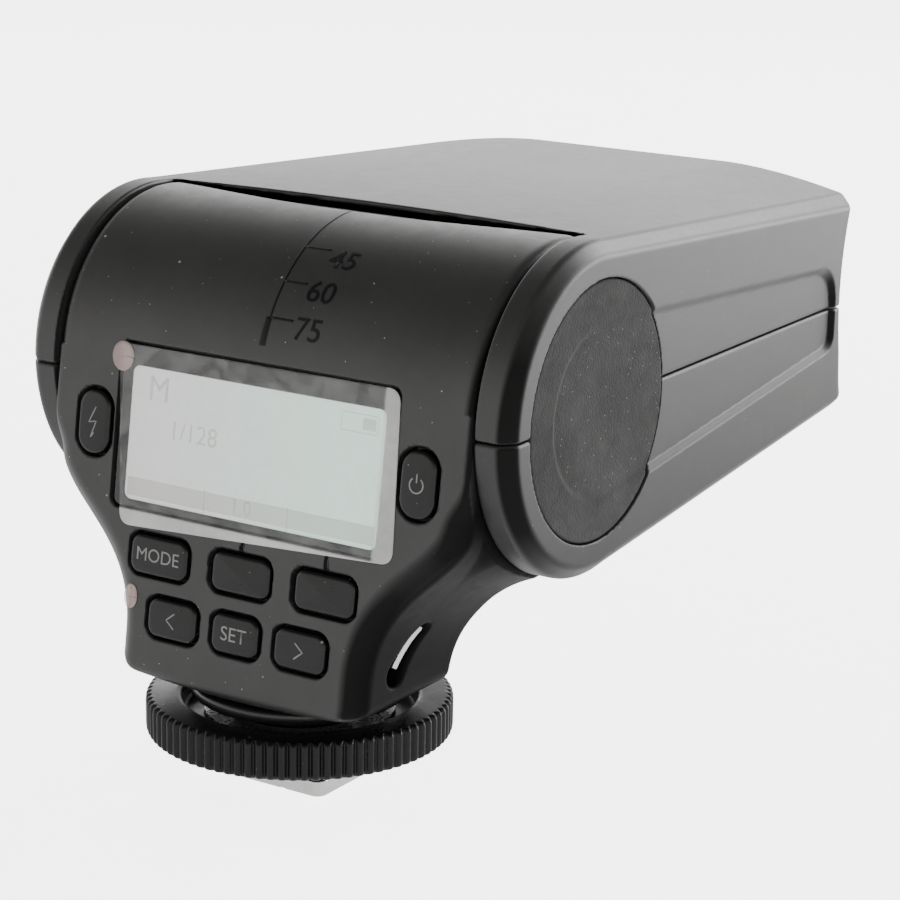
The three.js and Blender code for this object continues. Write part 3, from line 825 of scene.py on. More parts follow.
@dataclass(frozen=True)
class HousingFinish(Finish):
    """Housing finish with painted shade: gloss falls off on faces turned one way, low down and, if set, on
    the roof near the lip; the colour darkens on those faces and, if set, low down behind the panel.

    Heights and ranges are in millimetres; facings are unit directions or cosines.
    """

    # Painted shade: the facing, heights and levels that make the housing darker and less glossy.
    shade_facing: Point = (0.72, -0.69, -0.05)
    shade_facing_gloss: float = 0.1
    shade_facing_range: Pair = (0.72, 0.93)
    behind_range: Pair = (0.4, 2.0)
    shade_level: float = 0.3
    roof_facing: Pair = (0.9, 0.99)
    roof_level: float = 0.3
    shade_from: float = 43.0
    shade_to: float = 36.0
    shade_gloss: float = 0.04
    behind_panel: bool = True
    roof_fade: Pair | None = None

    def extras(self, nodes: Nodes, shader: bpy.types.Node, out: object) -> None:
        """Painted shade and falling gloss by facing, height and place.

        Args:
            nodes: Wiring helper of the material.
            shader: The Principled node.
            out: Outputs of the surface group; not used.
        """
        coords = nodes.add("ShaderNodeTexCoord").outputs
        # Painted shade on faces turned one way: a darker colour and less gloss there.
        facing_shade = nodes.ramp(nodes.dot(coords["Normal"], self.shade_facing), *self.shade_facing_range)
        # Painted shade low down: less gloss, and where behind_panel is set, limited to behind the panel and a
        # darker colour there too.
        low_shade = nodes.ramp(nodes.axis(coords["Object"], 2), self.shade_from * MM, self.shade_to * MM)
        if self.behind_panel:
            offset = nodes.add("ShaderNodeVectorMath", {"operation": "SUBTRACT"}, i0=coords["Object"],
                               i1=tuple(PANEL.origin * MM)).outputs[0]
            inward = nodes.dot(offset, tuple(-PANEL.out))
            start, end = self.behind_range
            low_shade = nodes.math("MULTIPLY", low_shade, nodes.ramp(inward, start * MM, end * MM))
        level = nodes.ramp(low_shade, 0.0, 1.0, self.specular, self.shade_gloss)
        level = nodes.math("MULTIPLY", level, nodes.ramp(facing_shade, 0.0, 1.0, 1.0, self.shade_facing_gloss))
        # Painted shade on the roof near the lip: its gloss is damped.
        if self.roof_fade:
            up = nodes.ramp(nodes.axis(coords["Normal"], 2), *self.roof_facing)
            near = nodes.ramp(nodes.axis(coords["Object"], 1), self.roof_fade[1] * MM, self.roof_fade[0] * MM)
            fade = nodes.ramp(nodes.math("MULTIPLY", up, near), 0.0, 1.0, 1.0, self.roof_level)
            level = nodes.math("MULTIPLY", level, fade)
        nodes.tree.links.new(level, shader.inputs["Specular IOR Level"])
        # Painted shade: the base colour is mixed towards a darker tone on the shaded faces.
        shade = nodes.math("MAXIMUM", facing_shade, low_shade if self.behind_panel else facing_shade)
        base = shader.inputs["Base Color"].links[0].from_socket
        shade_colour = tuple(c * self.shade_level for c in self.colour[:3]) + (1.0,)
        nodes.tree.links.new(nodes.mix(shade, base, shade_colour), shader.inputs["Base Color"])


@dataclass(frozen=True)
class DisplayFinish(Finish):
    """Lit display: pale grey on the left to mint on the right."""

    left: Colour = grey(190)
    right: Colour = rgba(0.52, 0.68, 0.6)
    blend: Pair = (-16.0, 12.0)
    cloud: Colour = grey(150)
    cloud_level: float = 0.16

    def colouring(self, nodes: Nodes, out: object) -> bpy.types.NodeSocket:
        """Gradient across the display with a faint mottle.

        Args:
            nodes: Wiring helper of the material.
            out: Outputs of the surface group.

        Returns:
            The colour.
        """
        start, end = self.blend
        base = nodes.mix(nodes.ramp(nodes.place(0), start * MM, end * MM), self.left, self.right)
        return nodes.mix(nodes.ramp(out["Mottle"], 0.2, 0.9, 0.0, self.cloud_level), base, self.cloud)


@dataclass(frozen=True)
class FilmFinish(Finish):
    """Thin protective film: clearer over the window, whiter where it bows off the panel below it, a painted
    sheen.
    """

    edge_height: float = 0.0
    side_edge: float = 17.3
    sheen_alpha: float = 0.52
    side_milky: float = 0.37
    edge_blur: float = 0.25
    side_blur: float = 0.5
    smear: Pair = (-0.03, 0.05)

    def extras(self, nodes: Nodes, shader: bpy.types.Node, out: object) -> None:
        """Opacity that rises below the window's edge, a painted sheen, and with smudges.

        Args:
            nodes: Wiring helper of the material.
            shader: The Principled node.
            out: Outputs of the surface group.
        """
        # Painted sheen: the white film grows more opaque below the window's edge, where it bows off the
        # panel.
        below, above = self.edge_height - 0.6 * self.edge_blur, self.edge_height + 0.4 * self.edge_blur
        band = nodes.ramp(nodes.place(2), below * MM, above * MM, self.sheen_alpha, self.alpha)
        start = self.side_edge - self.side_blur
        side = nodes.ramp(nodes.place(0), start * MM, self.side_edge * MM, 0.0, self.side_milky)
        band = nodes.math("MAXIMUM", band, side)
        smear = nodes.ramp(out["Smudge"], 0.3, 0.8, *self.smear)
        nodes.tree.links.new(nodes.math("ADD", band, smear, True), shader.inputs["Alpha"])


# Both housing finishes carry painted shade: darker, less glossy faces set in HousingFinish.
SATIN = HousingFinish("satin_black", grey(46), roughness=0.42, rough_spread=0.04, grain=0.16, bump=0.35,
                      bump_depth=0.03, dust=0.5)
HEAD_SATIN = HousingFinish("head_satin", grey(48), roughness=0.38, rough_spread=0.02, grain=0.16, bump=0.35,
                           bump_depth=0.03, mottle=0.05, dust=0.25, shade_from=52.0, shade_to=22.0,
                           shade_gloss=0.12, behind_panel=False, roof_fade=(10.0, 52.0))
PAD = Finish("pad_speckled", grey(46), roughness=0.85, specular=0.35, grain=0.28, bump=1.0, bump_depth=0.1,
             mottle=0.3, dust=0.35)
GLOSS = Finish("gloss_black", grey(18), roughness=0.16, grain=0.5, bump=0.05, wear=0.1, dust=0.35)
# Lock ring: its pale rib edges are partly wear and partly painted highlights on the ribs.
RING_WEAR_AND_GLINT = Finish("ring_black", grey(15), roughness=0.32, specular=0.25, grain=0.25, bump=0.2, wear=0.35,
                dust=0.3)
KEY = Finish("key_black", grey(16), roughness=0.22, specular=0.35, grain=0.4, bump=0.08, wear=0.15,
             dust=0.35)
LEGEND = Finish("legend_grey", grey(122), roughness=0.5, grain=0.1, bump=0.1, wear=0.0, dust=0.0)
INK = Finish("display_ink", rgba(0.4, 0.3, 0.27), roughness=0.5, wear=0.0, dust=0.0, alpha=0.3)
SCALE_INK = Finish("scale_ink", grey(12), roughness=0.45, specular=0.25, grain=0.1, bump=0.05, wear=0.0,
                   dust=0.0)
DISPLAY = DisplayFinish("display_lit", grey(190), roughness=0.35, wear=0.0, dust=0.0, bump=0.05,
                        emission=0.95)
PULL_TAB = Finish("pull_tab", rgba(0.62, 0.47, 0.45), roughness=0.35, wear=0.0, dust=0.1, alpha=0.5)
STEEL = Finish("plated_steel", grey(205, 0.01), roughness=0.28, metallic=1.0, grain=0.2, bump=0.12, wear=0.2,
               dust=0.2)
GOLD = Finish("gold_plate", rgba(0.75, 0.5, 0.17), roughness=0.25, metallic=1.0, bump=0.08, wear=0.2,
              dust=0.1)
BOARD = Finish("solder_mask", rgba(0.015, 0.1, 0.04), roughness=0.4, grain=0.8, coat=0.3)
RUBBER = Finish("mat_rubber", grey(80), roughness=0.85, grain=0.3, bump=0.4)
RED = Finish("red_window", rgba(0.16, 0.008, 0.01), roughness=0.12, bump=0.04, coat=0.6, dust=0.3)
WRAP = Finish("cell_wrap", rgba(0.03, 0.08, 0.22), roughness=0.35, metallic=0.3, grain=0.6)
LENS = Finish("lens_clear", grey(235), roughness=0.14, bump=0.05, transmission=0.9, wear=0.0, dust=0.2)
MIRROR = Finish("mirror_plate", grey(230), roughness=0.12, metallic=1.0, bump=0.04, wear=0.0, dust=0.1)
TUBE = Finish("tube_glass", grey(238), roughness=0.08, transmission=0.85, bump=0.02, wear=0.0, dust=0.0)
SLEEVE = Finish("sleeve_black", grey(28), roughness=0.35, grain=0.5)
WIRE = Finish("wire_red", rgba(0.3, 0.03, 0.02), roughness=0.5)
FLOOR = Finish("floor_paper", grey(226), roughness=0.8, grain=1.2, bump=0.05, mottle=0.01, wear=0.0, dust=0.0,
               emission=1.25, seen_glow=4.8)
INNER_FINISHES = {
    BOARD: ("main_board", "head_board"),
    RUBBER: ("keypad_mat",),
    WRAP: ("cell_upper", "cell_lower"),
    STEEL: ("tact_switch_left", "tact_switch_right", "usb_shell", "detent_leaf", "lock_washer", "lock_pin"),
    GOLD: ("contact_bridge", "contact_upper", "contact_lower"),
    GLOSS: ("usb_tongue", "pivot_tube_left", "pivot_tube_right"),
    MIRROR: ("reflector",),
    TUBE: ("flash_tube",),
    SLEEVE: ("main_capacitor",),
    WIRE: ("wire_loom",),
}


# ---------------------------------------------------------------- sub-assemblies


def finished(obj: bpy.types.Object, body: str, finish: Finish, slot: str, *nodes: str) -> bpy.types.Object:
    """Dresses a piece, sets it on its body and lets it stand for CAD nodes.

    Args:
        obj: The piece.
        body: CAD body it rides on.
        finish: Its finish.
        slot: Name of its material slot; not used.
        *nodes: CAD nodes it stands for.

    Returns:
        The same object.
    """
    finish.dress(obj)
    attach(obj, body)
    if nodes:
        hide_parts(*nodes)
    log.info("%s: %d points", obj.name, len(obj.data.vertices))
    return obj


def net_piece(node: str, name: str, shape: Field, cell: float, pad: float, body: str, finish: Finish,
              slot: str) -> bpy.types.Object:
    """Makes a piece from a field, dresses it and lets it stand for one CAD node.

    Args:
        node: CAD node it stands for.
        name: Name of the piece.
        shape: Distance field in millimetres.
        cell: Grid spacing in millimetres.
        pad: Space round the CAD node's box that the grid takes in.
        body: CAD body it rides on.
        finish: Its finish.
        slot: Name of its material slot.

    Returns:
        The new object.
    """
    low, high = node_box(node)
    obj = SurfaceNet(cell).build(name, shape, low - pad, high + pad)
    return finished(obj, body, finish, slot, node)


@dataclass(frozen=True)
class Key:
    """One key cap and its legend."""

    node: str
    legend: Callable[["Key"], list[bpy.types.Object]]
    radius: float = 1.3
    flange: float = 0.8
    proud: float = 0.38
    faceted: bool = False

    def rect(self) -> tuple[float, float, float, float]:
        """Centre and half sizes of the cap in the panel."""
        middle, half = middle_half(*panel_box(self.node))
        return middle[0], middle[1], half[0] - self.flange, half[1] - self.flange

    def cap(self, x: Array, y: Array, z: Array) -> Array:
        """Cap field: a rounded block with a faint crown and soft edges.

        Args:
            x: Part x in millimetres.
            y: Part y in millimetres.
            z: Part z in millimetres.

        Returns:
            Field in millimetres, negative inside.
        """
        u0, v0, hu, hv = self.rect()
        v, w = PANEL.local(y, z)
        radius = min(self.radius, hv - 0.1)
        rim = rounded_rect(x - u0, v - v0, hu, hv, radius)
        across, along = np.abs(x - u0) / hu, np.abs(v - v0) / hv
        fall = 0.34 * np.maximum(across, along) if self.faceted else 0.1 * (across**2 + along**2)
        crown = w - self.proud + fall
        return np.maximum(smooth_max(rim, crown, 0.55), -2.4 - w)

    def hole(self, x: Array, v: Array, w: Array, gap: float = 0.36, depth: float = 1.5) -> Array:
        """Recess field that the cap sits in.

        Args:
            x: Part x in millimetres.
            v: Height in the panel.
            w: Place out of the panel.
            gap: Gap round the cap.
            depth: Depth of the recess.

        Returns:
            Field in millimetres, negative inside.
        """
        u0, v0, hu, hv = self.rect()
        rim = rounded_rect(x - u0, v - v0, hu + gap, hv + gap, min(self.radius, hv - 0.1) + gap)
        return np.maximum(rim, -depth - w)

    def build(self) -> None:
        """Cap and legend."""
        net_piece(self.node, self.node + "_cap", self.cap, 0.16, 0.4, self.node, KEY, "key_plastic")
        for mark in self.legend(self):
            LEGEND.dress(mark)

    def mark(self, name: str, dx: float = 0.0, dv: float = 0.0) -> Mark:
        """Place of a legend on the cap."""
        u0, v0, _, _ = self.rect()
        return Mark(f"{self.node}_{name}", Wrap.PANEL, (u0 + dx, v0 + dv), self.node, self.proud - 0.02, 0.07)


def word(text: str, size: float) -> Callable[[Key], list[bpy.types.Object]]:
    """Legend of lettering."""
    return lambda key: [key.mark("legend").text(text, size)]


def strokes(*routes: Sequence[Pair], width: float = 0.2) -> Callable[[Key], list[bpy.types.Object]]:
    """Legend of bent strokes."""
    return lambda key: [key.mark(f"stroke_{i}").ribbon(route, width) for i, route in enumerate(routes)]


def arc(radius: float, start: float, end: float, steps: int = 20) -> list[Pair]:
    """Points along an arc, angles in degrees."""
    return [(radius * math.cos(a), radius * math.sin(a)) for a in np.radians(np.linspace(start, end, steps))]


def line(*corners: Pair, steps: int = 6) -> list[Pair]:
    """Points along a bent line, close together at its corners.

    Args:
        steps: Points on each stretch, with its end.
        *corners: Corners in order.

    Returns:
        The points.
    """
    out = []
    for a, b in zip(corners, corners[1:]):
        out += [(a[0] + (b[0] - a[0]) * t, a[1] + (b[1] - a[1]) * t) for t in np.linspace(0, 1, steps)[:-1]]
    return out + [corners[-1]]


BOLT = line((0.35, 1.8), (-0.55, -0.1), (0.5, 0.15), (-0.2, -1.8), (0.25, -1.2))
KEYS = (
    Key("button_flash_test", strokes(BOLT, width=0.17), 2.1),
    Key("button_power", strokes(arc(0.85, 125, 415), line((0, 0.25), (0, 1.25)), width=0.18), 2.1),
    Key("button_mode", word("MODE", 2.15)),
    Key("button_soft_left", lambda key: [], faceted=True),
    Key("button_soft_right", lambda key: [], faceted=True),
    Key("button_left", strokes(line((0.5, 0.9), (-0.6, 0), (0.5, -0.9)), width=0.19)),
    Key("button_set", word("SET", 2.3)),
    Key("button_right", strokes(line((-0.5, 0.9), (0.6, 0), (-0.5, -0.9)), width=0.19)),
)


@dataclass(frozen=True)
class BodyShells:
    """Barrel, control panel and neck, split into a rear and a front shell, with the battery cover.

    Lengths are in millimetres and angles in degrees; curve holds the four control points of the
    panel's edge as half width and height in the panel.
    """

    lean: Pair = (0.17, 0.28)
    widest: float = 28.08
    flare_bevel: float = 1.9
    turn_in: float = 5.0
    split_foot: float = 5.3
    split_slope: float = 0.147
    groove: float = 0.1
    recess: float = 1.3
    step_depth: float = 0.6
    cover_angle: float = 39.0
    cover_half: float = 25.4
    window_half: Pair = (18.9, 9.5)
    port: Pair = (0.5, 0.866)
    port_shift: float = 2.8
    leaf_depth: float = 0.75
    ridge_pitch: float = 4.2
    ridge_height: float = 0.25
    ridge_angle: float = 24.0
    curve: tuple[Pair, ...] = ((16.3, -31.0), (16.3, -19.5), (28.0, -18.3), (28.0, -9.5))

    def half_width(self, v: Array) -> tuple[Array, Array]:
        """Half width of panel and neck at a height in the panel, and its slope.

        Args:
            v: Height in the panel.

        Returns:
            Half width and its slope.
        """
        t = np.linspace(0, 1, 60)[:, None]
        p = [np.array(c) for c in self.curve]
        bend = (1 - t) ** 3 * p[0] + 3 * t * (1 - t) ** 2 * p[1] + 3 * t * t * (1 - t) * p[2] + t**3 * p[3]
        half = np.interp(v, bend[:, 1], bend[:, 0])
        slope = np.interp(v, bend[:, 1], np.gradient(bend[:, 0], bend[:, 1]), left=0, right=0)
        return half, slope

    def barrel(self, x: Array, y: Array, z: Array) -> Array:
        """Barrel field."""
        return smooth_max(np.hypot(y - AXIS[1], z - AXIS[2]) - BARREL_R, np.abs(x) - BARREL_HALF, 1.4)

    def flank(self, y: Array, z: Array) -> tuple[Array, Array, Array]:
        """Half width at a place, its slope, and the height it is read at.

        Args:
            y: Part y in millimetres.
            z: Part z in millimetres.

        Returns:
            Half width, its slope and the height in the panel.
        """
        v, w = PANEL.local(y, z)
        height = v - w * (self.lean[0] + (self.lean[1] - self.lean[0]) * smooth_step(v, -20, -8))
        half, slope = self.half_width(height)
        turn = 0.6 * np.maximum(y - self.turn_in, 0) ** 1.4 * smooth_step(-v, 12, 20)
        return half + 0.15 + 0.4 * smooth_step(-height, 10, 14) - turn, slope, height

    def outer(self, x: Array, y: Array, z: Array) -> Array:
        """Whole body field without its recesses.

        Args:
            x: Part x in millimetres.
            y: Part y in millimetres.
            z: Part z in millimetres.

        Returns:
            Field in millimetres, negative inside.
        """
        v, w = PANEL.local(y, z)
        half, slope, height = self.flank(y, z)
        side = (np.abs(x) - half) / np.hypot(1, slope)
        bevel = self.flare_bevel * smooth_step(-height, 7, 12)
        block = smooth_max(smooth_max(side, w, 0.6), (side + w + bevel) * math.sqrt(0.5), 0.7)
        block = smooth_max(block, NECK_BOTTOM + 0.15 + (x / 14) ** 2 * 0.6 - z, 1.6)
        block = smooth_max(block, y - NECK_FRONT, 1.6)
        block = np.maximum(block, v + 0 * x)
        fill = 0.05 + 4.5 * smooth_step(-w, 2.5, 8)
        return np.maximum(smooth_min(self.barrel(x, y, z), block, fill), np.abs(x) - self.widest)

    def recessed(self, x: Array, y: Array, z: Array) -> Array:
        """Body field with the window, key, port and lip recesses.

        Args:
            x: Part x in millimetres.
            y: Part y in millimetres.
            z: Part z in millimetres.

        Returns:
            Field in millimetres, negative inside.
        """
        body = self.outer(x, y, z)
        v, w = PANEL.local(y, z)
        middle, _ = middle_half(*panel_box("lcd_window"))
        rect = rounded_rect(x - middle[0], v - middle[1], *self.window_half, 1.1)
        body = cut(body, np.maximum(rect, -self.recess - w), 0.25)
        for key in KEYS:
            body = cut(body, key.hole(x, v, w), 0.22)
        for node in ("button_soft_left", "button_soft_right"):
            u0, v0, _, hv = next(k for k in KEYS if k.node == node).rect()
            groove = rounded_rect(x - u0, v - (v0 + hv + 1.35), 0.17, 1.1, 0.1)
            body = cut(body, np.maximum(groove, -0.25 - w), 0.1)
        along, across = self.port_place(y, z)
        taper = 1.2 - 0.12 * (along - 0.9)
        slot = np.maximum(np.hypot(np.maximum(np.abs(along - 0.9) - 2.6, 0), across) - taper, 12.0 - x)
        body = cut(body, slot, 0.5)
        ry, rz = y - AXIS[1], z - AXIS[2]
        lip = np.maximum(-1.0 + 4.0 * (x / 27.5) ** 2 - ry, BARREL_R - self.step_depth - np.hypot(ry, rz))
        lip = np.maximum(np.maximum(lip, ry - 10.5), np.maximum(4 - rz, np.abs(x) - BARREL_HALF + 0.8))
        return cut(body, lip, 0.3)

    def ahead(self, y: Array, z: Array) -> Array:
        """Distance ahead of the split between the shells."""
        return (y - self.split_foot - self.split_slope * (z - NECK_BOTTOM)) / math.hypot(1, self.split_slope)

    def rear(self, x: Array, y: Array, z: Array) -> Array:
        """Rear shell field."""
        return smooth_max(self.recessed(x, y, z), self.ahead(y, z) + self.groove, 0.5)

    def sector(self, y: Array, z: Array) -> Array:
        """Negative inside the battery cover's sector."""
        angle = np.arctan2(np.abs(z - AXIS[2]), y - AXIS[1])
        return (angle - math.radians(self.cover_angle)) * BARREL_R

    def front(self, x: Array, y: Array, z: Array) -> Array:
        """Front shell field, with the battery cover's place let in.

        Args:
            x: Part x in millimetres.
            y: Part y in millimetres.
            z: Part z in millimetres.

        Returns:
            Field in millimetres, negative inside.
        """
        body = self.recessed(x, y, z)
        depth = BARREL_R - 1.7 - np.hypot(y - AXIS[1], z - AXIS[2])
        place = np.maximum(np.maximum(self.sector(y, z), np.abs(x) - self.cover_half - 0.2), depth)
        middle, _ = middle_half(*node_box("assist_window"))
        window = np.maximum(rounded_rect(x, z - middle[2], 5.4, 3.15, 1.2), NECK_FRONT - 0.9 - y)
        body = cut(cut(body, place, 0.3), window, 0.3)
        return smooth_max(body, -self.ahead(y, z) + self.groove, 0.5)

    def cover(self, x: Array, y: Array, z: Array) -> Array:
        """Battery cover field, with grip ridges along its lower edge.

        Args:
            x: Part x in millimetres.
            y: Part y in millimetres.
            z: Part z in millimetres.

        Returns:
            Field in millimetres, negative inside.
        """
        radius = np.hypot(y - AXIS[1], z - AXIS[2])
        angle = np.degrees(np.arctan2(z - AXIS[2], y - AXIS[1]))
        wave = 0.5 + 0.5 * np.cos(2 * math.pi * angle / self.ridge_pitch)
        ridges = self.ridge_height * wave * smooth_step(-np.abs(angle + self.ridge_angle), -11, -9)
        skin = radius - BARREL_R + 0.02 + ridges * smooth_step(-np.abs(x), -12, -10.5)
        rim = smooth_max(self.sector(y, z) + 0.2, np.abs(x) - self.cover_half, 1.2)
        return np.maximum(smooth_max(skin, rim, 0.5), BARREL_R - 1.6 - radius)

    def port_place(self, y: Array, z: Array) -> tuple[Array, Array]:
        """Place along and across the service port's slot.

        Args:
            y: Part y in millimetres.
            z: Part z in millimetres.

        Returns:
            Place along the slot and place across it.
        """
        middle, _ = middle_half(*node_box("usb_shell"))
        dy, dz = y - middle[1] + self.port_shift, z - middle[2]
        return dy * self.port[0] + dz * self.port[1], dy * self.port[1] - dz * self.port[0]

    def port_leaf(self, x: Array, y: Array, z: Array) -> Array:
        """Bright metal leaf that leans in the service port.

        Args:
            x: Part x in millimetres.
            y: Part y in millimetres.
            z: Part z in millimetres.

        Returns:
            Field in millimetres, negative inside.
        """
        along, across = self.port_place(y, z)
        leaf = rounded_rect(along - 1.2, across + 0.1, 2.6, 0.5, 0.2)
        return smooth_max(leaf, np.abs(x - self.flank(y, z)[0] + self.leaf_depth) - 0.35, 0.1)

    def build(self) -> None:
        """Both shells, the cover, the red window and the port's metal leaf."""
        shells = (("rear_shell", "rear_housing", self.rear, 0.3),
                  ("front_shell", "front_housing", self.front, 0.36),
                  ("battery_cover", "battery_door", self.cover, 0.32))
        for node, name, shape, cell in shells:
            net_piece(node, name, shape, cell, 0.6, "body", SATIN, "housing_plastic")
        shape = rounded_box(*node_box("assist_window"), 0.6)
        net_piece("assist_window", "red_front_window", shape, 0.25, 0.6, "body", RED, "red_window")
        low, high = node_box("usb_shell")
        corners = (14.5, low[1] - 4, low[2] - 2), (18.5, high[1] + 1, high[2] + 2)
        leaf = SurfaceNet(0.14).build("port_leaf", self.port_leaf, *corners)
        finished(leaf, "body", STEEL, "steel", "usb_shell")


@dataclass(frozen=True)
class HeadShells:
    """Tilting head: two shells, side pads, bezel and ribbed lens.

    Lengths are in millimetres, places are read from the tilt axis.
    """

    bevel: float = 1.5
    clearance: float = 18.62
    cheek: float = 28.3
    nose_centre: Pair = (95.4, 2.2)
    nose_radius: float = 34.8
    floor_drop: float = 18.76
    floor_rise: float = 0.104
    channel_depth: float = 0.6
    channel_wall: float = 0.9
    pad_radius: float = 14.5
    seam_gap: float = 0.09
    mouth_height: float = 3.2
    mouth_half: Pair = (28.3, 9.7)
    mouth_start: float = 44.0
    pad_seat: float = 31.55
    pad_face: float = 32.6
    rib_pitch: float = 0.95
    rib_height: float = 0.14

    @staticmethod
    def about(y: Array, z: Array) -> tuple[Array, Array]:
        """Place relative to the tilt axis."""
        return y - AXIS[1], z - AXIS[2]

    def channel(self, ry: Array, rz: Array) -> Array:
        """Share of the side channel's depth reached at a place, from 0 to 1.

        Args:
            ry: Place along y from the tilt axis.
            rz: Place along z from the tilt axis.

        Returns:
            Share from 0 to 1.
        """
        d = smooth_max(rz - (10.1 - 0.0575 * ry), ry - 58.6, 5.0)
        d = smooth_max(d, -rz - 10.8 + 0.1148 * ry, 2.0)
        d = np.maximum(np.where(ry < 0, np.hypot(ry, rz) - 9.9, d), -9.0)
        return smooth_step(-d, -0.1, self.channel_wall)

    def hull(self, x: Array, y: Array, z: Array) -> Array:
        """Whole head field without the parting line.

        Args:
            x: Part x in millimetres.
            y: Part y in millimetres.
            z: Part z in millimetres.

        Returns:
            Field in millimetres, negative inside.
        """
        ry, rz = self.about(y, z)
        a = np.abs(x)
        middle, edge = 18.65 - 0.021 * ry, CHEEK_R - 0.058 * ry
        roof = rz - middle + (middle - edge) * np.clip((a - 14) / 17.5, 0, 1) ** 1.7
        floor = -self.floor_drop + self.floor_rise * ry - rz
        disc = np.hypot(ry, rz) - CHEEK_R
        height = smooth_min(disc, np.maximum(np.maximum(roof, floor), np.where(rz < 0, 2.0, 0.0) - ry), 0.05)
        side = a - HEAD_HALF
        body = smooth_max(height, side + self.channel_depth * self.channel(ry, rz), 0.1)
        body = smooth_max(body, (height + side + self.bevel) * math.sqrt(0.5), 0.35)
        nose = self.nose_radius - np.hypot(ry - self.nose_centre[0], rz - self.nose_centre[1])
        body = smooth_max(body, nose, 1.2 + 1.2 * smooth_step(-rz, 4, 11))
        lip = 3.1 + 1.9 * (1 - (x / 27.5) ** 2)
        rear = ry - np.where(rz > 0, lip, 6.5)
        turn = np.maximum(np.minimum(np.hypot(ry, rz) - self.clearance, rear), a - self.cheek)
        body = cut(body, turn, 0.35)
        opening = rounded_rect(x + 0 * rz, rz - self.mouth_height + 0 * x, *self.mouth_half, 0.9)
        mouth = np.maximum(opening, self.mouth_start - ry)
        body = cut(body, mouth, 0.4)
        pad = np.maximum(np.hypot(ry, rz) - self.pad_radius - 0.17, self.pad_seat - a)
        return cut(body, pad, 0.12)

    def seam(self, y: Array, z: Array) -> Array:
        """Height above the line where the shells meet."""
        ry, rz = self.about(y, z)
        return rz - np.interp(ry, [0, 14.8, 56, 70], [0, 0.86, 1.14, 1.2])

    def upper(self, x: Array, y: Array, z: Array) -> Array:
        """Upper shell field."""
        return smooth_max(self.hull(x, y, z), self.seam_gap - self.seam(y, z), 0.35)

    def lower(self, x: Array, y: Array, z: Array) -> Array:
        """Lower shell field."""
        return smooth_max(self.hull(x, y, z), self.seam(y, z) + self.seam_gap, 0.35)

    def pad(self, x: Array, y: Array, z: Array) -> Array:
        """Side pad field.

        Args:
            x: Part x in millimetres.
            y: Part y in millimetres.
            z: Part z in millimetres.

        Returns:
            Field in millimetres, negative inside.
        """
        ry, rz = self.about(y, z)
        face = np.abs(x) - self.pad_face + 0.34 * self.channel(ry, rz)
        return np.maximum(smooth_max(np.hypot(ry, rz) - self.pad_radius, face, 0.25), 31.6 - np.abs(x))

    def build(self) -> None:
        """All pieces of the head."""
        net = SurfaceNet(0.3)
        shells = (("head_upper_shell", "head_top", self.upper), ("head_lower_shell", "head_base", self.lower))
        for node, name, shape in shells:
            low, high = node_box(node)
            reach = np.array([high[0], node_box("head_upper_shell")[1][1], high[2]]) + 0.6
            finished(net.build(name, shape, low - 0.6, reach), "head", HEAD_SATIN, "housing_plastic", node)
        for node in ("side_pad_left", "side_pad_right"):
            net_piece(node, node + "_disc", self.pad, 0.25, 1.0, "head", PAD, "pad_plastic")
        low, high = node_box("lens_bezel")
        inner_low, inner_high = node_box("flat_lens")

        middle, half = middle_half(inner_low, inner_high)

        def bezel(x: Array, y: Array, z: Array) -> Array:
            """Bezel field, its opening a little wider at the front.

            Args:
                x: Part x in millimetres.
                y: Part y in millimetres.
                z: Part z in millimetres.

            Returns:
                Field in millimetres, negative inside.
            """
            flare = 0.5 * (y - low[1]) / (high[1] - low[1])
            hole = rounded_rect(x, z - middle[2], half[0] + 0.25, half[2] + 0.25, 0.8) - flare
            return cut(slab(x, y, z, low, high, 0.5), hole, 0.4)

        def lens(x: Array, y: Array, z: Array) -> Array:
            """Lens field with ribs across its front face.

            Args:
                x: Part x in millimetres.
                y: Part y in millimetres.
                z: Part z in millimetres.

            Returns:
                Field in millimetres, negative inside.
            """
            wave = np.cos(2 * math.pi * (z - inner_low[2]) / self.rib_pitch)
            ribs = self.rib_height * wave * smooth_step(y, inner_low[1], inner_high[1])
            return slab(x, y + ribs + self.rib_height, z, inner_low, inner_high, 0.3)

        net_piece("lens_bezel", "front_bezel", bezel, 0.3, 0.5, "head", GLOSS, "gloss_black")
        net_piece("flat_lens", "ribbed_lens", lens, 0.24, 0.5, "head", LENS, "lens")


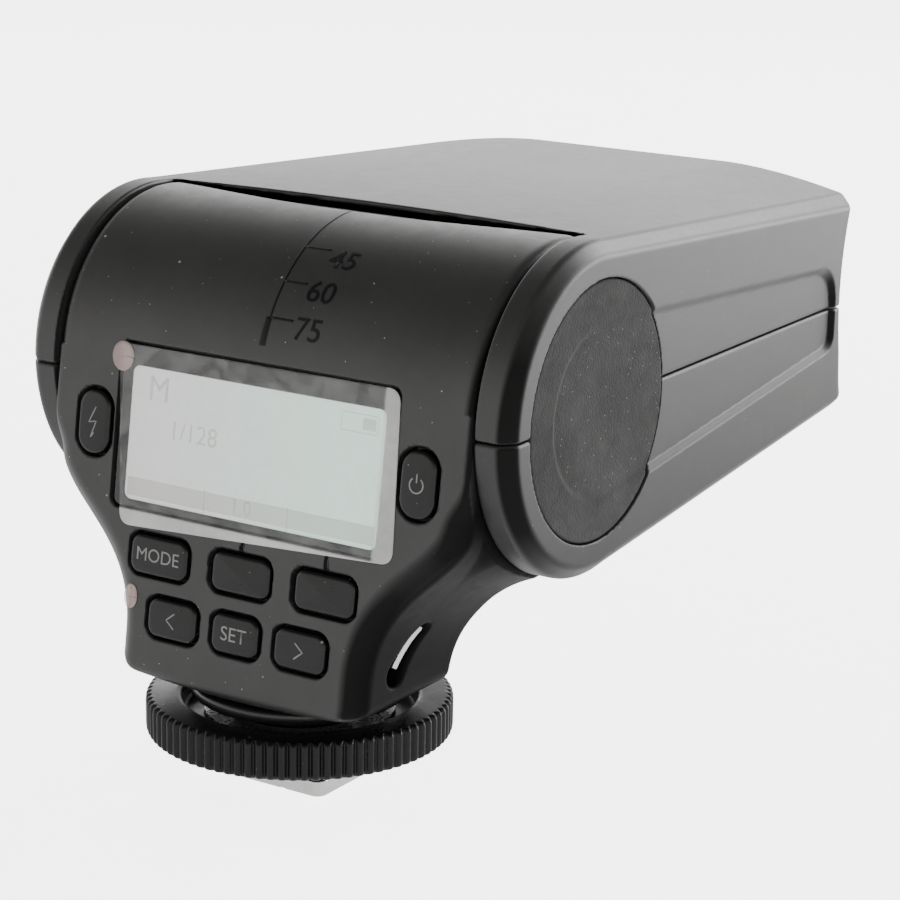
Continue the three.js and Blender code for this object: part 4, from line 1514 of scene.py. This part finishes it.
@dataclass(frozen=True)
class Display:
    """Window frame, lit display with its marks, and the protective film.

    words holds a name, a place, the lettering and its size; film_top and film_under hold the share of
    the sheet's outline and the height of each ring; tabs hold a place, two half sizes and a height.
    """

    frame_half: Pair = (18.65, 9.25)
    lit_half: Pair = (17.2, 7.6)
    lit_drop: float = -0.75
    foot_drop: float = -6.1
    dividers: Pair = (-6.0, 5.4)
    words: tuple[tuple[str, float, float, str, float], ...] = (
        ("mode", -13.4, 5.2, "M", 4.0), ("power", -8.2, 0.9, "1/128", 3.0), ("zero", -0.9, -6.1, "1.0", 2.4))
    film_corners: tuple[Pair, ...] = ((-19.1, 1.35), (18.9, 1.5), (19.75, -17.3), (-17.3, -19.2))
    film_top: tuple[Pair, ...] = ((1.0, 0.1), (0.995, 0.17), (0.96, 0.19), (0.6, 0.17), (0.2, 0.16))
    film_under: tuple[Pair, ...] = ((0.2, 0.05), (0.96, 0.05), (0.998, 0.05))
    tabs: tuple[tuple[float, ...], ...] = ((-18.6, -0.2, 1.5, 1.9, 0.02), (-14.9, -27.1, 0.9, 1.9, 0.1))

    def centre(self) -> Pair:
        """Centre of the window in the panel."""
        middle, _ = middle_half(*panel_box("lcd_window"))
        return middle[0], middle[1]

    def frame(self, x: Array, y: Array, z: Array) -> Array:
        """Black window frame field, open over the lit area.

        Args:
            x: Part x in millimetres.
            y: Part y in millimetres.
            z: Part z in millimetres.

        Returns:
            Field in millimetres, negative inside.
        """
        u0, v0 = self.centre()
        v, w = PANEL.local(y, z)
        rim = smooth_max(rounded_rect(x - u0, v - v0, *self.frame_half, 0.9), w + 0.12, 0.3)
        lit = rounded_rect(x - u0, v - v0 - self.lit_drop, *self.lit_half, 0.9)
        return np.maximum(cut(rim, lit, 0.15), -1.15 - w)

    def lit(self, x: Array, y: Array, z: Array) -> Array:
        """Lit display field.

        Args:
            x: Part x in millimetres.
            y: Part y in millimetres.
            z: Part z in millimetres.

        Returns:
            Field in millimetres, negative inside.
        """
        u0, v0 = self.centre()
        v, w = PANEL.local(y, z)
        half_u, half_v = self.lit_half[0] + 0.2, self.lit_half[1] + 0.2
        rim = rounded_rect(x - u0, v - v0 - self.lit_drop, half_u, half_v, 0.9)
        return np.maximum(np.maximum(rim, w + 0.32), -1.1 - w)

    def mark(self, name: str, du: float, dv: float) -> Mark:
        """Place of a mark on the lit display, from its centre."""
        u0, v0 = self.centre()
        return Mark("display_" + name, Wrap.PANEL, (u0 + du, v0 + self.lit_drop + dv), "body", -0.33, 0.03)

    def film(self) -> bpy.types.Object:
        """Film sheet: four corners with rounded ends, a thin bowed slab.

        Returns:
            The new object.
        """
        loop = rounded_profile(self.film_corners, 1.6, 8)[::-1]
        middle = loop.mean(0)
        layers = [np.column_stack([middle + (loop - middle) * share, np.full(len(loop), height)])
                  for share, height in (*self.film_top, *self.film_under)]
        flat = np.concatenate(layers)
        n, last, faces = len(loop), len(self.film_top) - 1, []
        for i in range(len(layers)):
            if i == last:
                continue
            k = (i + 1) % len(layers)
            faces += [[i * n + j, i * n + (j + 1) % n, k * n + (j + 1) % n, k * n + j] for j in range(n)]
        top, low = last * n, (last + 1) * n
        faces += [[top + j for j in range(n)], [low + j for j in range(n)][::-1]]
        return mesh_object("protective_film", PANEL.place(flat), faces)

    def build(self) -> None:
        """Frame, display, marks, film and tabs."""
        net_piece("lcd_window", "window_frame", self.frame, 0.28, 1.5, "body", GLOSS, "clear_window")
        low, high = node_box("lcd_window")
        lit = SurfaceNet(0.3).build("lit_display", self.lit, low - 1.5, high + 1.5)
        finished(lit, "body", DISPLAY, "display", "lcd_module")
        _, v0 = self.centre()
        marks = [self.mark(name, du, dv).text(words, size) for name, du, dv, words, size in self.words]
        cell = [(-2.6, -1.0), (-2.6, 1.0), (2.2, 1.0), (2.2, -1.0), (-2.6, -1.0)]
        marks.append(self.mark("battery", 14.0, 5.7).ribbon(line(*cell), 0.16))
        marks.append(self.mark("battery_level", 15.1, 5.7).ribbon(line((-0.9, 0), (0.8, 0)), 1.6))
        along = line((-16.9, 0), (16.9, 0), steps=12)
        marks.append(self.mark("foot_band", 0.0, self.foot_drop).ribbon(along, 2.7))
        upright = line((0, -1.3), (0, 1.3))
        for index, u in enumerate(self.dividers):
            marks.append(self.mark(f"divider_{index}", u, self.foot_drop).ribbon(upright, 0.16))
        for mark in marks:
            INK.dress(mark)
        edge = PANEL.place(np.array([[0, v0 - 9.45, 0.1]]))[0, 2]
        film = FilmFinish("film_clear", grey(236), roughness=0.2, bump=0.04, wear=0.0, dust=0.15, alpha=0.05,
                          edge_height=float(edge))
        finished(self.film(), "body", film, "film", "screen_film")
        turn = np.linspace(0, 2 * math.pi, 40)
        for index, (u, v, half_u, half_v, height) in enumerate(self.tabs):
            loop = [(0.5 * half_u * math.cos(a), 0.5 * half_v * math.sin(a)) for a in turn]
            place = Mark(f"film_tab_{index + 1}", Wrap.PANEL, (u, v), "body", height, 0.12)
            piece = place.ribbon(loop, half_u)
            PULL_TAB.dress(piece)


@dataclass(frozen=True)
class LockAndFoot:
    """Knurled lock ring, hub, shoe foot and its contacts."""

    ribs: int = 86
    rib_depth: float = 0.55
    bore: float = 8.2
    dish: float = 13.5
    dish_floor: float = 5.9
    ring_edge: float = 1.7
    pin_hole: float = 1.35
    screw_hole: float = 0.95
    contacts: tuple[str, ...] = ("shoe_contact_centre", *(f"shoe_contact_{i}" for i in range(1, 5)))

    def ring(self) -> bpy.types.Object:
        """Ribbed ring with a dished top.

        Returns:
            The new object.
        """
        low, high = node_box("lock_ring")
        r, z0, z1 = float(high[0]), float(low[2]), float(high[2])
        bore, dish, floor = self.bore, self.dish, self.dish_floor
        plain = r - self.ring_edge
        corners = [(bore, z0), (plain, z0), (r, z0), (r, z1)]
        corners += [(plain, z1), (dish, z1), (dish, floor), (bore, floor)]
        profile = rounded_profile(corners, 0.7, 5)
        per_rib = 10

        def ribbed(angle: Array, radius: Array) -> Array:
            """Radius with the outer wall ribbed.

            Args:
                angle: Turn angle.
                radius: Radius of the profile.

            Returns:
                The changed radius.
            """
            wave = np.abs(np.sin(angle * self.ribs / 2))
            share = np.clip((radius - (r - 0.75)) / 0.5, 0, 1)
            return radius - self.rib_depth * (1 - wave**0.8) * share

        return turned_mesh("knurled_ring", profile, self.ribs * per_rib, ribbed)

    def hub(self, x: Array, y: Array, z: Array) -> Array:
        """Hub disc, boss and rails.

        Args:
            x: Part x in millimetres.
            y: Part y in millimetres.
            z: Part z in millimetres.

        Returns:
            Field in millimetres, negative inside.
        """
        r = np.hypot(x, y)
        disc = smooth_max(r - 12.6, np.abs(z - 9.3) - 0.8, 0.7)
        boss = np.maximum(r - 7.6, np.abs(z - 6.0) - 2.6)
        rails = slab(x, y, z, np.array([-6.1, -9, 1.95]), np.array([6.1, 9, 3.6]), 0.4)
        return smooth_min(smooth_min(disc, boss, 0.6), rails, 0.4)

    def plate(self, x: Array, y: Array, z: Array) -> Array:
        """Shoe plate with its holes.

        Args:
            x: Part x in millimetres.
            y: Part y in millimetres.
            z: Part z in millimetres.

        Returns:
            Field in millimetres, negative inside.
        """
        low, high = node_box("foot_plate")
        body = smooth_max(rounded_rect(x, y, high[0], high[1], 1.3), np.abs(z - 1.0) - 0.99, 0.35)
        inner_low, inner_high = node_box("contact_block")
        middle, half = middle_half(inner_low, inner_high)
        opening = rounded_rect(x - middle[0], y - middle[1], half[0] + 0.15, half[1] + 0.15, 0.6)
        body = cut(body, opening, 0.2)
        pin, _ = middle_half(*node_box("lock_pin"))
        body = cut(body, np.hypot(x - pin[0], y - pin[1]) - self.pin_hole, 0.2)
        for index in range(1, 5):
            place, _ = middle_half(*node_box(f"foot_screw_{index}"))
            r = np.hypot(x - place[0], y - place[1])
            body = cut(body, np.maximum(r - self.screw_hole, z - 1.0), 0.15)
        return body

    def block(self, x: Array, y: Array, z: Array) -> Array:
        """Insulating block with a dished hole for each contact.

        Args:
            x: Part x in millimetres.
            y: Part y in millimetres.
            z: Part z in millimetres.

        Returns:
            Field in millimetres, negative inside.
        """
        low, high = node_box("contact_block")
        body = slab(x, y, z, low, high, 0.3)
        for node in self.contacts:
            place, half = middle_half(*node_box(node))
            r = np.hypot(x - place[0], y - place[1])
            body = cut(body, np.maximum(r - half[0] + 0.2, z - 1.0), 0.2)
        return body

    def screw(self, node: str, into: Array, head: float) -> None:
        """Round-headed screw with a cross recess, its head facing away from its shank.

        Args:
            node: CAD node it stands for.
            into: Unit direction from the head into the part.
            head: Height of the head.
        """
        low, high = node_box(node)
        axis = int(np.argmax(np.abs(into)))
        sides = [i for i in range(3) if i != axis]
        centre, half = middle_half(low, high)
        radius = float(half[sides].max())
        face = low[axis] if into[axis] > 0 else high[axis]

        def shape(x: Array, y: Array, z: Array) -> Array:
            """Screw field.

            Args:
                x: Across, in millimetres.
                y: Along, in millimetres.
                z: Up, in millimetres.

            Returns:
                Field in millimetres, negative inside.
            """
            q = (x, y, z)
            a, b = q[sides[0]] - centre[sides[0]], q[sides[1]] - centre[sides[1]]
            depth = (q[axis] - face) * np.sign(into[axis])
            r = np.hypot(a, b)
            cap = smooth_max(r - radius, np.abs(depth - head / 2) - head / 2, 0.25)
            shank = np.maximum(r - radius * 0.6, np.maximum(-depth, depth - (high - low)[axis]))
            body = np.minimum(cap, shank)
            cross = np.minimum(np.maximum(np.abs(a) - radius * 0.14, np.abs(b) - radius * 0.6),
                               np.maximum(np.abs(b) - radius * 0.14, np.abs(a) - radius * 0.6))
            return cut(body, np.maximum(cross, depth - head * 0.6), 0.08)

        obj = SurfaceNet(0.09).build(node + "_head", shape, low - 0.2, high + 0.2)
        owner = "head" if node.startswith("head") else "body"
        finished(obj, owner, STEEL, "steel", node)

    def contact(self, node: str) -> None:
        """Sprung contact with a rounded tip.

        Args:
            node: Name of a CAD node.
        """
        low, high = node_box(node)
        r, z0, z1 = (high[0] - low[0]) / 2 - 0.35, low[2], high[2]
        tip = [(r * math.sin(t), z0 + 0.45 * (1 - math.cos(t))) for t in np.linspace(0.02, math.pi / 2, 8)]
        profile = np.array([*tip, (r, z0 + 2.55), (r + 0.33, z0 + 2.62), (r + 0.33, z1), (0.02, z1)])
        obj = turned_mesh(node + "_tip", profile[::-1], 32, centre=(low + high)[:2] / 2)
        finished(obj, node, GOLD, "gold", node)

    def build(self) -> None:
        """All pieces under the neck."""
        finished(self.ring(), "lock_ring", RING_WEAR_AND_GLINT, "housing_plastic", "lock_ring")
        net_piece("foot_base", "hub_and_rails", self.hub, 0.28, 0.5, "body", GLOSS, "gloss_black")
        net_piece("foot_plate", "shoe_plate", self.plate, 0.22, 0.4, "body", STEEL, "steel")
        net_piece("contact_block", "contact_insulator", self.block, 0.2, 0.4, "body", GLOSS, "gloss_black")
        for node in self.contacts:
            self.contact(node)
        for index in range(1, 5):
            self.screw(f"foot_screw_{index}", np.array([0, 0, 1.0]), 0.7)
        for side in ("left", "right"):
            self.screw(f"body_screw_{side}", np.array([0, -1.0, 0]), 0.6)


@dataclass(frozen=True)
class TiltScale:
    """Dark tilt scale on the barrel: ticks by angle and length, numbers by text, x and angle."""

    x: float = 0.3
    start: float = 3.0
    end: float = 71.0
    ticks: tuple[Pair, ...] = ((31.5, 3.5), (47.2, 3.1), (61.1, 3.1))
    numbers: tuple[tuple[str, float, float], ...] = (("45", 6.2, 35.7), ("60", 5.6, 49.8), ("75", 5.6, 63.7))

    def build(self) -> None:
        """Line, index band, ticks and numbers."""
        span = BARREL_R * math.radians(self.end - self.start) / 2
        middle = (self.start + self.end) / 2
        rise = np.linspace(-span, span, 60)
        long_line = Mark("scale_line", Wrap.BARREL, (self.x, middle), "body", 0.0, 0.09)
        pieces = [long_line.ribbon([(0, v) for v in rise], 0.3)]
        band = BARREL_R * math.radians(5)
        wide = Mark("scale_index", Wrap.BARREL, (0.12, 66.0), "body", 0.01, 0.09)
        pieces.append(wide.ribbon([(0, v) for v in np.linspace(-band, band, 16)], 0.85))
        for index, (angle, length) in enumerate(self.ticks):
            tick = Mark(f"scale_tick_{index + 1}", Wrap.BARREL, (self.x, angle), "body", 0.0, 0.09)
            pieces.append(tick.ribbon([(length * t, 0) for t in np.linspace(0, 1, 8)], 0.3))
        for text, x, angle in self.numbers:
            pieces.append(Mark(f"scale_{text}", Wrap.BARREL, (x, angle), "body", 0.02, 0.09).text(text, 3.7))
        for piece in pieces:
            SCALE_INK.dress(piece)


# ---------------------------------------------------------------- stage


@dataclass(frozen=True)
class Lamp:
    """Rectangular soft light aimed at a point, sizes and places in millimetres."""

    name: str
    place: Point
    aim: Point
    size: Pair
    radiance: float

    def build(self) -> None:
        """Adds the light."""
        data = bpy.data.lights.new(self.name, "AREA")
        data.shape, data.size, data.size_y = "RECTANGLE", self.size[0] * MM, self.size[1] * MM
        data.energy = self.radiance * math.pi * self.size[0] * self.size[1] * MM * MM
        obj = bpy.data.objects.new(self.name, data)
        obj.location = Vector(self.place) * MM
        obj.rotation_euler = (Vector(self.aim) - Vector(self.place)).to_track_quat("-Z", "Y").to_euler()
        bpy.context.scene.collection.objects.link(obj)


@dataclass(frozen=True)
class Studio:
    """Pale floor sweep, soft lights and the camera."""

    azimuth: float = 32.73
    elevation: float = 15.36
    roll: float = 1.0
    place: Point = (174.49, -240.53, 118.61)
    lens: float = 109.81
    reach: float = 2200.0
    sweep: float = 500.0
    wall: float = 2600.0
    half_floor: float = 3500.0
    horizon: float = 1.6
    zenith: float = 0.12
    lamps: tuple[Lamp, ...] = (
        Lamp("far_right", (330.0, 520.0, 110.0), (25.0, 50.0, 40.0), (320.0, 200.0), 9.0),
        Lamp("back_glow", (-330.0, 640.0, 260.0), (0.0, 40.0, 60.0), (520.0, 240.0), 2.0),
        Lamp("edge_glow", (190.0, 530.0, 360.0), (25.0, 40.0, 50.0), (340.0, 240.0), 8.5),
    )

    def floor(self) -> None:
        """Floor that sweeps up far behind into a backdrop, seen from the camera."""
        low = float(CAD_BOX[0][2]) / MM
        a = math.radians(self.azimuth)
        back, side = np.array([-math.sin(a), math.cos(a)]), np.array([math.cos(a), math.sin(a)])
        section = [(-2500.0, 0.0), (0.0, 0.0), (self.reach, 0.0)]
        r = self.sweep
        turn = np.linspace(0.1, math.pi / 2, 16)
        section += [(self.reach + r * math.sin(t), r - r * math.cos(t)) for t in turn]
        section.append((self.reach + r, self.wall))
        points = []
        for s in (-self.half_floor, self.half_floor):
            points += [[*(back * d + side * s), low + h] for d, h in section]
        n = len(section)
        faces = [[i, i + n, i + n + 1, i + 1] for i in range(n - 1)]
        obj = mesh_object("floor_sweep", np.array(points), faces)
        FLOOR.dress(obj)
        obj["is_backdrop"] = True

    def camera(self) -> None:
        """Camera at the object's three-quarter rear view."""
        az, el, roll = (math.radians(v) for v in (self.azimuth, self.elevation, self.roll))
        ahead = Vector((-math.sin(az) * math.cos(el), math.cos(az) * math.cos(el), -math.sin(el)))
        right = Vector((math.cos(az), math.sin(az), 0))
        up = right.cross(ahead)
        turned_right = math.cos(roll) * right + math.sin(roll) * up
        turned_up = -math.sin(roll) * right + math.cos(roll) * up
        data = bpy.data.cameras.new("camera")
        data.lens, data.sensor_width, data.clip_start, data.clip_end = self.lens, 36.0, 0.01, 20.0
        obj = bpy.data.objects.new("camera", data)
        turn = Matrix((turned_right, turned_up, -ahead)).transposed()
        obj.matrix_world = Matrix.Translation(Vector(self.place) * MM) @ turn.to_4x4()
        bpy.context.scene.collection.objects.link(obj)
        bpy.context.scene.camera = obj

    def build(self) -> None:
        """Stage, lights, surroundings and camera."""
        self.floor()
        for lamp in self.lamps:
            lamp.build()
        world = bpy.data.worlds.new("surroundings")
        world.use_nodes = True
        nodes = Nodes(world.node_tree)
        ahead = nodes.add("ShaderNodeTexCoord").outputs["Generated"]
        height = nodes.add("ShaderNodeSeparateXYZ", Vector=ahead).outputs[2]
        level = nodes.add("ShaderNodeMapRange", {"interpolation_type": "SMOOTHSTEP"}, Value=height,
                          From_Min=0.05, From_Max=0.78, To_Min=self.horizon, To_Max=self.zenith).outputs[0]
        light = nodes.add("ShaderNodeBackground", Color=rgba(1.0, 0.99, 0.96), Strength=level)
        nodes.tree.links.new(light.outputs[0], nodes.add("ShaderNodeOutputWorld").inputs[0])
        bpy.context.scene.world = world
        self.camera()


def dress_inner_nodes() -> None:
    """Gives each CAD node that stays on show its finish."""
    for finish, nodes in INNER_FINISHES.items():
        finish.dress(*(bpy.data.objects[node] for node in nodes))
        log.info("%s: %s", ", ".join(nodes), finish.name)


def write_sizes() -> None:
    boxes = {"cad": CAD_BOX, "visual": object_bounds()}
    {key: [list(map(float, corner)) for corner in box] for key, box in boxes.items()}


def main() -> None:
    """Builds every sub-assembly and the stage."""
    logging.basicConfig(level=logging.INFO, format="%(name)s: %(message)s")
    BodyShells().build()
    HeadShells().build()
    Display().build()
    for key in KEYS:
        key.build()
    LockAndFoot().build()
    for side in ("left", "right"):
        LockAndFoot().screw(f"head_screw_{side}", np.array([0, 0, 1.0]), 0.6)
    TiltScale().build()
    dress_inner_nodes()
    Studio().build()
    write_sizes()


if __name__ == "__main__":
    main()
